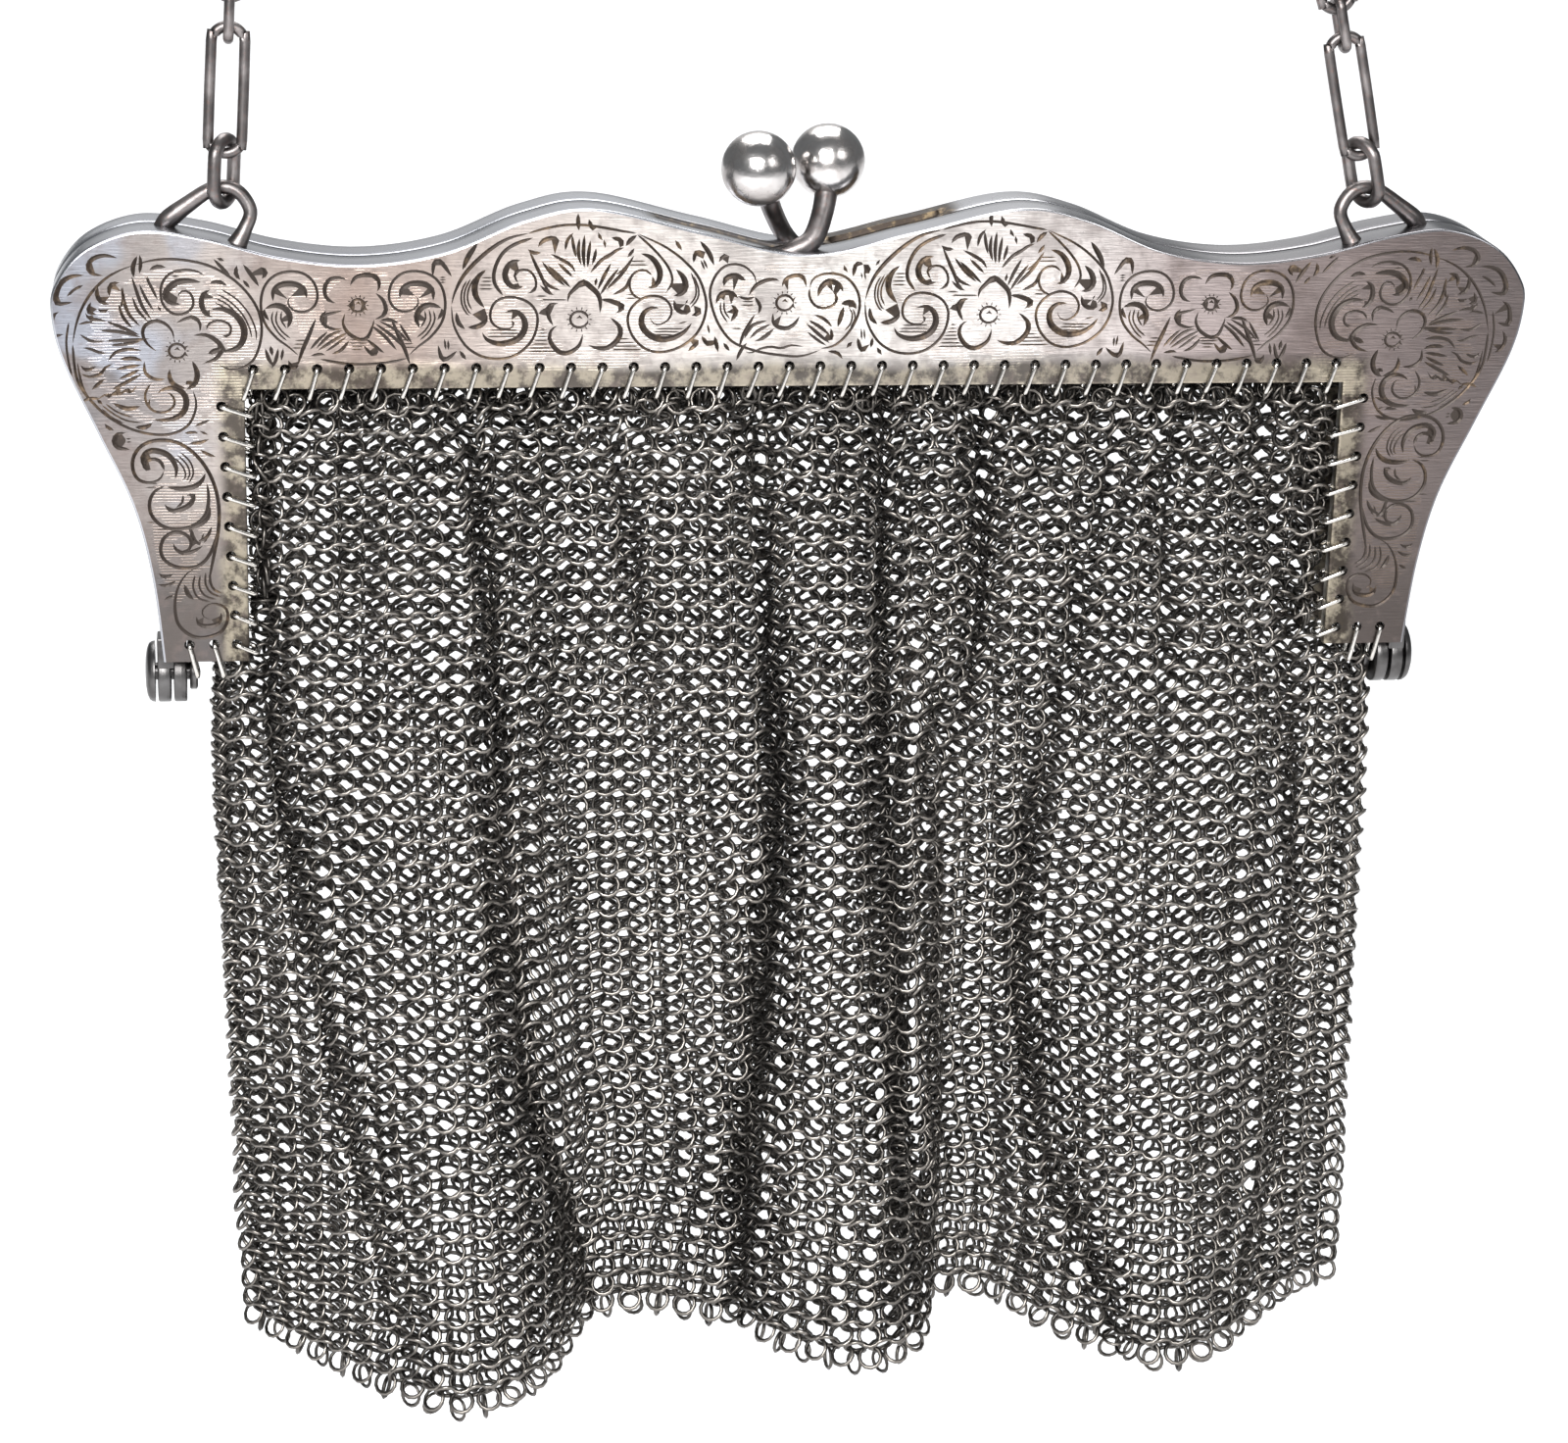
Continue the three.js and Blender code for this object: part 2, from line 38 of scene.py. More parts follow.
import bmesh
import bpy
import numpy as np
from bpy.props import (
    FloatProperty,
    FloatVectorProperty,
    IntProperty,
    PointerProperty,
)
from mathutils import Matrix, Vector
from mathutils.geometry import delaunay_2d_cdt
from mathutils.kdtree import KDTree

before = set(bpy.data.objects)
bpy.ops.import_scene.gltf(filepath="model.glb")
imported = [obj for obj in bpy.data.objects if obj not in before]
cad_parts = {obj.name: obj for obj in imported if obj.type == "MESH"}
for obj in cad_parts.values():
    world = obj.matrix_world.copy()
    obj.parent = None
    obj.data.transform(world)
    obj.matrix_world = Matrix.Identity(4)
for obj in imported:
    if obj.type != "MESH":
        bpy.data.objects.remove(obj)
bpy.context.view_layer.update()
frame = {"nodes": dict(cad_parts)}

# Everything is modelled in millimetres around the frame: x = 0 in its middle, y = 0 on its
# front face, z = 0 at the mouth line. A finished piece is moved to the row frame in metres.
MM = 0.001
MOUTH_GAP = 0.3
FRAME_LOW, FRAME_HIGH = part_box("front_frame")
BAG_LOW, BAG_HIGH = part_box("mesh_bag")
HOME = Vector(((FRAME_LOW.x + FRAME_HIGH.x) / 2, FRAME_LOW.y, BAG_HIGH.z + MOUTH_GAP * MM))
BODY = "root"

# The rim from the middle to the widest point: shares of the half width and of the crest.
TOP_EDGE = (
    (0, 0.745), (0.14, 0.865), (0.285, 1), (0.38, 0.935), (0.485, 0.76), (0.594, 0.693),
    (0.7, 0.735), (0.8, 0.84), (0.885, 0.88), (0.955, 0.775), (0.994, 0.585), (1, 0.42),
)
# The outside of a leg from there down: shares of the flare left and of the way down.
LEG_EDGE = ((0.9, 0.131), (0.59, 0.33), (0.26, 0.545), (0.09, 0.757), (0, 1))
# The folds across the bag: shares of the half width and of the fold depth.
PLEATS = (
    (-1, 0.02), (-0.86, 0.5), (-0.65, 1), (-0.52, 0.8), (-0.41, 0.12), (-0.29, 0.04),
    (-0.15, 0.22), (0, 0.6), (0.11, 0.72), (0.19, 0.54), (0.215, 0.06), (0.34, 0),
    (0.47, 0.44), (0.65, 0.82), (0.77, 0.64), (0.89, 0.2), (1, 0),
)
# The bag's half width over the mouth's, against the drop: in millimetres.
WIDENING = ((0, 0), (28.5, 0), (30.5, 4.84), (36.45, 5.28), (48.4, 5.5), (108, 5.5))
# The left bail from its outer foot: inset in flares, rise in crests, depth in frame depths
# and the wire's radius in millimetres.
BAIL = (
    (1.02, -0.149, 0.367, 0.4), (1.14, -0.095, 0.362, 0.95), (1.32, -0.017, 0.356, 0.85),
    (1.6, 0.083, 0.333, 0.72), (1.82, 0.072, 0.311, 0.7), (1.95, -0.033, 0.278, 0.7),
    (1.89, -0.138, 0.256, 0.75), (1.79, -0.238, 0.233, 1.1),
)
# Each clasp stem from its foot: right and rise in balls, depth in frame depths, radius.
FRONT_STEM = (
    (-0.46, -0.04, 0.2, 0.35), (-0.18, -0.01, 0.235, 1.0), (0.093, 0.133, 0.278, 1.1),
    (0.253, 0.453, 0.444, 1.12), (0.33, 0.78, 0.6, 1.25), (0.36, 1.093, 0.733, 1.7),
)
BACK_STEM = (
    (0.14, -0.04, 0.25, 0.35), (-0.06, -0.02, 0.262, 0.75), (-0.227, 0.133, 0.278, 0.95),
    (-0.4, 0.453, 0.444, 1.0), (-0.53, 0.78, 0.6, 1.1), (-0.653, 1.093, 0.733, 1.5),
)
# The domed cap of a hinge pin, from its edge to its middle: shares of its radius and rise.
CAP_DOME = ((1, 0), (0.985, 0.3), (0.92, 0.6), (0.76, 0.82), (0.5, 0.95), (0.25, 0.99), (0, 1))

# The engraving, stroke by stroke: its width, and the points that it runs through as x,z on
# the plate. A wide stroke swells in its middle and tapers to its ends.
CORNER_STROKES = (
    (0.15,
     "-66.38,12.62 -64.75,13.05 -63,13.2 -61,13 -59,12.45 -57,11.25 -55.5,9.75 -54.5,8 "
     "-54.2,6.25 -54.45,4.5 -55.12,3 -56.25,2.25 -57.38,2.12 -58.5,2.62"),
    (0.24, "-66.38,12.62 -67.75,12.12 -69.25,11.25 -70.62,9.88 -71.62,8.25 -72.25,6.5 -72.6,4.75"),
    (0.15, "-72.6,4.75 -72.5,2.75 -72.2,1 -71.38,-0.5 -70.12,-1.88"),
    (0.12, "-72.88,7 -73.2,5 -73.05,3 -72.75,1.5"),
    (0.15,
     "-59.62,11.55 -60.5,12 -61.75,12.12 -63,11.75 -63.75,10.88 -63.95,9.75 -63.7,8.62 "
     "-62.88,7.8 -61.88,7.7 -61,8.25 -60.8,9.12 -61.25,9.95 -62,9.95 -62.3,9.38"),
    (0.55, "-60,10.88 -61.25,11.05 -62.38,10.88 -63.25,10.2 -63.5,9.38 -62.88,8.8 -62.05,8.7"),
    (0.35, "-59.2,10.75 -58.38,10.95 -57.5,10.55"),
    (0.45, "-59.2,10.12 -59.88,9.62 -60,8.62 -59.62,7.75 -58.95,7.38"),
    (0.55, "-59.2,8.12 -58,8.2 -56.75,7.62 -56,6.5 -55.95,5.38 -56.5,4.38 -57.62,3.95 -58.5,4.05"),
    (0.14, "-59.62,6.12 -59.3,6.75 -58.38,7.05 -57.38,6.7 -57.2,6 -57.55,5.45 -58.05,5.5"),
    (0.1, "-58.62,9.75 -57.38,9.05 -56.12,7.75 -55.38,6.25 -55.2,5.25"),
    (0.1, "-58.75,9.3 -57.55,8.7 -56.45,7.5 -55.8,6.38"),
    (0.1, "-58.12,10.2 -56.62,9.2 -55.45,7.75 -54.8,6.12 -54.75,5"),
    (0.1, "-58.75,8.88 -57.62,8.25 -56.8,7.55"),
    (0.4, "-60.88,5.55 -59.75,5.62 -58.75,5.12 -58.12,4.25 -58.75,3.2 -60,2.75"),
    (0.45, "-59.5,3.7 -58.8,4 -58.12,4.25"),
    (0.3,
     "-64.45,3.95 -65.38,4.75 -65.8,5.75 -65.5,6.62 -64.5,7.05 -63.5,6.7 -62.88,5.88 "
     "-62.8,5.12"),
    (0.3, "-62.5,6.8 -61.62,7.25 -60.75,7.38 -60.2,6.75 -60.25,5.88"),
    (0.4, "-63.25,2.2 -63.3,1.38 -62.88,0.62 -61.7,0.15"),
    (0.45, "-61.7,0.1 -60.88,0.62 -60.58,1.75 -61.05,3"),
    (0.3, "-65.7,3 -65.7,2 -65.25,1.43 -64.5,1.12 -63.7,1.2"),
    (0.3, "-65.12,5.25 -67.25,5.12 -69.45,5.07"),
    (0.3, "-66,5.43 -68,5.95 -70,6.12"),
    (0.3, "-66.12,5.62 -67.75,6.38 -69.25,7"),
    (0.28, "-66,5 -67.75,4.7 -69,4.62"),
    (0.25, "-69.45,5.07 -70.62,5 -71.38,5.38 -71.88,5.75"),
    (0.25, "-69.25,3.88 -70,3.88 -70.88,4.25 -71.62,4.38"),
    (0.22, "-69.25,7 -70.12,7.2 -70.88,7"),
    (0.22, "-72,6.7 -71,6.95 -70.38,6.82"),
    (0.35, "-65.88,3 -66.75,3.3 -68.12,3.2"),
    (0.3, "-66,2.62 -67.25,2.43 -68.5,2.2"),
    (0.3, "-66.12,2.2 -67.25,1.62 -68.25,1.2"),
    (0.32, "-66,1.7 -67.38,0.95 -68.95,0.12"),
    (0.3, "-65.88,4.05 -67.25,4.2 -68.5,3.88 -69.25,3"),
    (0.28, "-71.88,2.62 -71.38,2.12 -70.38,2.5"),
    (0.28, "-71.88,1.75 -71,1.45 -70,1.75 -69.5,2.38 -68.75,2.75"),
    (0.3, "-69.62,1.25 -70.38,0.62 -70.88,0.12"),
    (0.22,
     "-66.45,0.62 -67.12,-0.25 -67.38,0.2 -68.25,-0.38 -68.5,-0.05 -69.3,-0.62 -69.45,-0.25 "
     "-70.38,-0.88"),
    (0.4, "-68.88,-1.25 -67.5,-1.8 -66.2,-1.55"),
    (0.25, "-64.25,9.12 -64.75,10.25 -65.38,11.5"),
    (0.25, "-64.62,8 -65.38,9.25 -66,10.75"),
    (0.3, "-64.88,7.12 -65.75,8.5 -66.38,10.38 -66.7,11.5"),
    (0.3, "-66,6.5 -67,7.62 -67.5,9 -67.62,10.5"),
    (0.28, "-66.7,6.25 -67.62,7.38 -68.05,8.75"),
    (0.25, "-65.25,7 -66.2,8.12 -66.7,9.5"),
    (0.38, "-66.12,13.5 -66.55,12.45 -66.5,11.38"),
    (0.3, "-65.88,13.62 -65.8,12.75 -65.95,11.75"),
    (0.35, "-67.88,10.88 -68.62,10.75 -68.92,10.25 -68.88,9.5"),
    (0.38, "-70,10.62 -70.1,9.75 -69.75,9 -68.95,8.7"),
    (0.28, "-67.75,10.38 -67.55,9.25 -67.95,8.25"),
    (0.3, "-70.12,8.25 -69.55,8 -69,8.25"),
    (0.32, "-70.7,8.95 -71,8 -70.2,7.7"),
    (0.22, "-71.25,7.88 -70.88,7.25 -70.05,7.38"),
    (0.35, "-65,12.1 -64.25,12.45 -63.38,12.38"),
    (0.25, "-65.2,11.5 -65,10.5"),
    (0.25, "-64.25,8.5 -63.95,8"),
    (0.38, "-68,13.3 -69.25,13.57 -70.38,13.25 -70.88,12.5 -70.55,11.8 -69.45,11.55"),
    (0.45, "-71.25,11.62 -72.5,11.5 -73.5,10.88 -74,9.8 -73.95,8.8 -72.45,8.95"),
    (0.15, "-73,9.5 -72.25,10.2 -71.38,10.62"),
    (0.4, "-73.8,8 -74.5,7.5 -74.75,6.5 -74.7,5.55 -73.45,5.75"),
    (0.35, "-74.12,4.88 -74.5,4 -74.15,3 -73.45,2.62"),
    (0.1, "-63,11.5 -62,11.5"),
    (0.08, "-62.62,11.88 -61.62,11.88"),
    (0.08, "-60,8 -59.5,8"),
    (0.15,
     "-72.2,3 -72,1.5 -71.62,0 -70.88,-1.12 -69.5,-2.5 -67.75,-3.62 -66,-4.25 -64.25,-4.5 "
     "-62.75,-4.25 -61.62,-3.55 -61,-2.5 -60.75,-1.25 -61.05,0"),
    (0.14,
     "-65.12,0.75 -65.7,-0.25 -65.55,-1.38 -64.75,-2.12 -63.62,-2.12 -62.88,-1.38 "
     "-63.05,-0.5 -63.62,-0.2"),
    (0.5,
     "-64.5,-0.3 -64,0.12 -63,0.3 -62,-0.25 -61.7,-1.25 -62.12,-2.3 -63.12,-2.88 -64.3,-3 "
     "-65,-2.9"),
    (0.38, "-61.75,0.62 -61.25,1"),
    (0.4, "-66.8,-3.7 -65.8,-3.7 -65.1,-3.3"),
    (0.1, "-70,-1.38 -68.88,-2.3 -67.62,-3 -66.12,-3.25"),
    (0.1, "-69.62,-1.25 -68.5,-2.12 -67,-2.7"),
    (0.1, "-70,-1.75 -69.12,-2.62 -67.88,-3.3"),
    (0.1, "-65.25,-0.75 -65.38,-1.5 -65,-2"),
    (0.28, "-71.88,-1.12 -71.25,-0.75 -70.12,-0.75"),
    (0.3, "-70.45,-0.8 -69.88,-1.38"),
)
LEG_STROKES = (
    (0.2, "-64.05,-8.12 -64.38,-7.25 -65.12,-6.95 -65.88,-7.3 -65.95,-7.95 -65.38,-8.05"),
    (0.2,
     "-64.05,-8.12 -64.5,-9 -65.5,-9.4 -66.62,-9.05 -67.12,-8 -67.05,-6.8 -66.38,-5.75 "
     "-65.25,-5.15 -63.75,-5.05 -62.25,-5.5 -60.75,-6.75 -59.62,-8.5 -58.95,-10.5 "
     "-58.75,-12.5 -58.88,-14.5 -59.25,-16.5 -59.62,-18.25 -59.95,-20"),
    (0.5, "-65.38,-8 -65.95,-7.75 -66.12,-6.75 -65.3,-6.1 -64,-6.35 -63.25,-7 -62.85,-8 -63,-9.05"),
    (0.1, "-62.5,-6.25 -61.5,-7.25 -61.2,-8.5 -61.7,-9.5"),
    (0.1, "-62.8,-6.5 -61.85,-7.5 -61.55,-8.55 -61.95,-9.3"),
    (0.1, "-63.05,-6.8 -62.2,-7.8 -61.95,-8.75 -62.3,-9.2"),
    (0.45, "-63.8,-9.85 -62.5,-10.05 -61.2,-9.85 -60.38,-9.25 -60,-8.45"),
    (0.2,
     "-64,-9.75 -65,-10.25 -65.55,-11.25 -65.5,-12.5 -64.75,-13.62 -63.5,-14.2 -62,-14.12 "
     "-60.75,-13.5 -60,-12.5 -59.75,-11 -59.88,-9.5"),
    (0.45, "-64.12,-11.62 -63.5,-12.3 -62.38,-12.12 -61.5,-11.55 -61.2,-10.7 -61.95,-10.75"),
    (0.14, "-62.25,-10.62 -62.38,-11.5 -63,-12"),
    (0.45, "-61.88,-14.25 -60.7,-13.75 -59.88,-13 -59.62,-11.9"),
    (0.2,
     "-62.88,-16.38 -62.25,-16.62 -61.7,-16.2 -61.62,-15.38 -62.25,-14.7 -63.25,-14.55 "
     "-64.25,-15.12 -64.62,-16.2 -64.38,-17.25 -63.5,-18 -62.25,-18.3 -61,-18.12 -60,-17.25 "
     "-59.38,-16 -58.95,-14.5"),
    (0.35, "-63.38,-15.62 -63.12,-16.3 -62.3,-16.75 -61.2,-16.45 -60.45,-16"),
    (0.4, "-61.5,-14.25 -61.38,-15.25 -60.7,-15.93"),
    (0.3,
     "-61,-18.25 -62,-18.8 -62.75,-19.8 -63.2,-21 -63.35,-22.5 -63.12,-24 -62.38,-25 "
     "-61.25,-25.62 -60,-25.55 -58.75,-25 -58.12,-23.75 -58.25,-22.62 -59.12,-22.12 "
     "-60,-22.2 -60.62,-22.75 -60.5,-23.45 -59.75,-23.75"),
    (0.4, "-62.38,-20 -62,-21.05 -61.45,-21.62"),
    (0.4, "-61.25,-23.38 -61,-24.2 -60,-24.45 -58.95,-24.05 -58.75,-23"),
    (0.12, "-61.25,-19 -61.5,-20.25 -61,-21.45 -59.75,-21.9"),
    (0.12, "-60.75,-19 -60.88,-20.25 -60.3,-21.25 -59.2,-21.62"),
    (0.12, "-60.2,-18.75 -60.25,-20 -59.7,-20.95 -58.7,-21.38"),
    (0.14, "-59.8,-18.75 -59.75,-19.88 -59.38,-20.62 -58.62,-21"),
    (0.3, "-61,-15.62 -60,-15.05 -59.5,-14"),
    (0.1, "-60.62,-15.38 -60.25,-14.62"),
    (0.1, "-60.38,-15.75 -59.88,-15.05"),
    (0.3, "-64.88,-18.8 -64.25,-19.25 -63.45,-18.88"),
    (0.28, "-65,-19.95 -64.12,-20.12 -63.2,-19.62"),
    (0.25, "-64.38,-21.62 -63.5,-21.12"),
    (0.25, "-61,-3.65 -60.25,-3.35 -59.45,-3"),
    (0.25, "-62,-4.35 -61,-4.25 -60.6,-4.4"),
    (0.22, "-60.5,-4.12 -59.62,-4.55"),
    (0.3, "-61.55,-5.38 -60.5,-5.3 -59.6,-5"),
    (0.28, "-60.5,-6.05 -59.75,-6.5 -58.95,-6.8"),
    (0.42, "-67.7,-4.25 -68.5,-4.4 -68.88,-5.05 -68.5,-5.75 -67.35,-5.95"),
    (0.1, "-67.75,-4.88 -67.2,-4.88"),
    (0.1, "-67.75,-5.2 -67.12,-5.2"),
    (0.3, "-69.75,-3.3 -69.45,-3.7 -68.85,-4"),
    (0.08, "-65.5,-9.5 -64.5,-9.5"),
    (0.08, "-66,-9.88 -64.75,-9.88"),
    (0.08, "-66,-13.5 -65,-13.5"),
    (0.08, "-65,-14.25 -63.5,-14.25"),
)
SMALL_STROKES = (
    (0.15,
     "-51.3,9.45 -51.62,8.88 -51.2,8.15 -50.12,7.85 -49.12,8.35 -48.7,9.38 -49,10.75 "
     "-50,11.7 -51.5,11.93 -53,11.43 -53.95,10.25 -54.25,8.5 -53.88,6.75 -52.75,5.25 "
     "-51.62,4.38 -50.62,3.45"),
    (0.5, "-53.05,8.95 -53,10 -52.25,10.62 -51,10.68 -50,10.2 -49.75,9.2"),
    (0.5, "-53.88,8.2 -52.88,8.55 -51.88,8.25 -51.38,7.25 -51.7,6.2"),
    (0.3, "-53.88,8.2 -53.88,7.62 -53.45,7"),
    (0.1, "-53.05,8 -53.2,7 -52.55,5.75 -51.7,4.95"),
    (0.1, "-52.62,8.1 -52.8,7 -52.25,5.95 -51.38,5.2"),
    (0.1, "-52.2,8 -52.3,7.12 -51.75,6.2"),
    (0.35, "-50.75,2.45 -50.25,4 -49.7,5.25 -48.88,7.25"),
    (0.08, "-51,5 -49.75,5"),
    (0.08, "-51.12,4.62 -50,4.62"),
    (0.08, "-51.38,4.25 -50.12,4.25"),
)
BLOOM_STROKES = (
    (0.35, "-46.88,8.75 -47.75,9.12 -48,10.25 -47.5,11.12 -46.5,11.3 -45.8,11.05"),
    (0.4, "-45.5,10.5 -45,11.3 -44,11.57 -42.95,11.38 -42.62,10.5 -42.88,9.88"),
    (0.35, "-43,9.75 -42.25,9 -42,8 -42.38,7.38 -43.12,7.1"),
    (0.32, "-46,7.75 -46.25,6.75 -45.75,5.75 -44.75,5.1 -44.12,5.1 -43.7,5.5 -43.3,6.5 -43.2,7.12"),
    (0.3, "-46.25,8 -47.25,7.75 -48.12,7.5 -48.25,7 -48,6.45 -47,6.1 -46.3,6.2"),
    (0.3, "-47.88,8 -48.38,7.25 -48.3,6.7"),
    (0.28, "-46.25,6 -47.62,5.45 -48.88,4.2"),
    (0.28, "-45.75,5.8 -47.25,4.95 -48.75,3.95"),
    (0.22, "-45.88,5.38 -47.38,4.25 -48,3.88"),
    (0.28, "-45.62,5 -46.45,4 -47.38,3.6"),
    (0.25, "-47.75,5.88 -48.75,4.95 -49.5,4.05"),
    (0.3, "-43.5,6.5 -42.2,5.45 -40.95,3.95"),
    (0.28, "-43.1,6.7 -41.45,5.45 -39.95,3.95"),
    (0.25, "-42.7,6.95 -40.95,5.95 -39.7,4.7"),
    (0.28, "-43.95,5.1 -42.75,4.1 -42.2,3.7"),
    (0.28, "-44.25,4.5 -43.3,3.45 -42.75,3.9"),
    (0.3, "-42.62,7 -41.7,7.05 -40.75,6.7"),
    (0.25, "-40.7,6.7 -40,5.5 -39.45,4.62"),
    (0.15, "-48.55,3.1 -46.5,2.7 -44.75,2.55 -42.75,2.62 -41,2.88 -39.95,3.15"),
    (0.25, "-49.45,3.45 -48.5,3.62 -48,3.5"),
    (0.08, "-45.88,5 -43.5,5"),
    (0.08, "-45.88,4.7 -43.75,4.7"),
    (0.08, "-45.62,4.38 -44,4.38"),
    (0.08, "-45.5,4.05 -44.25,4.05"),
)
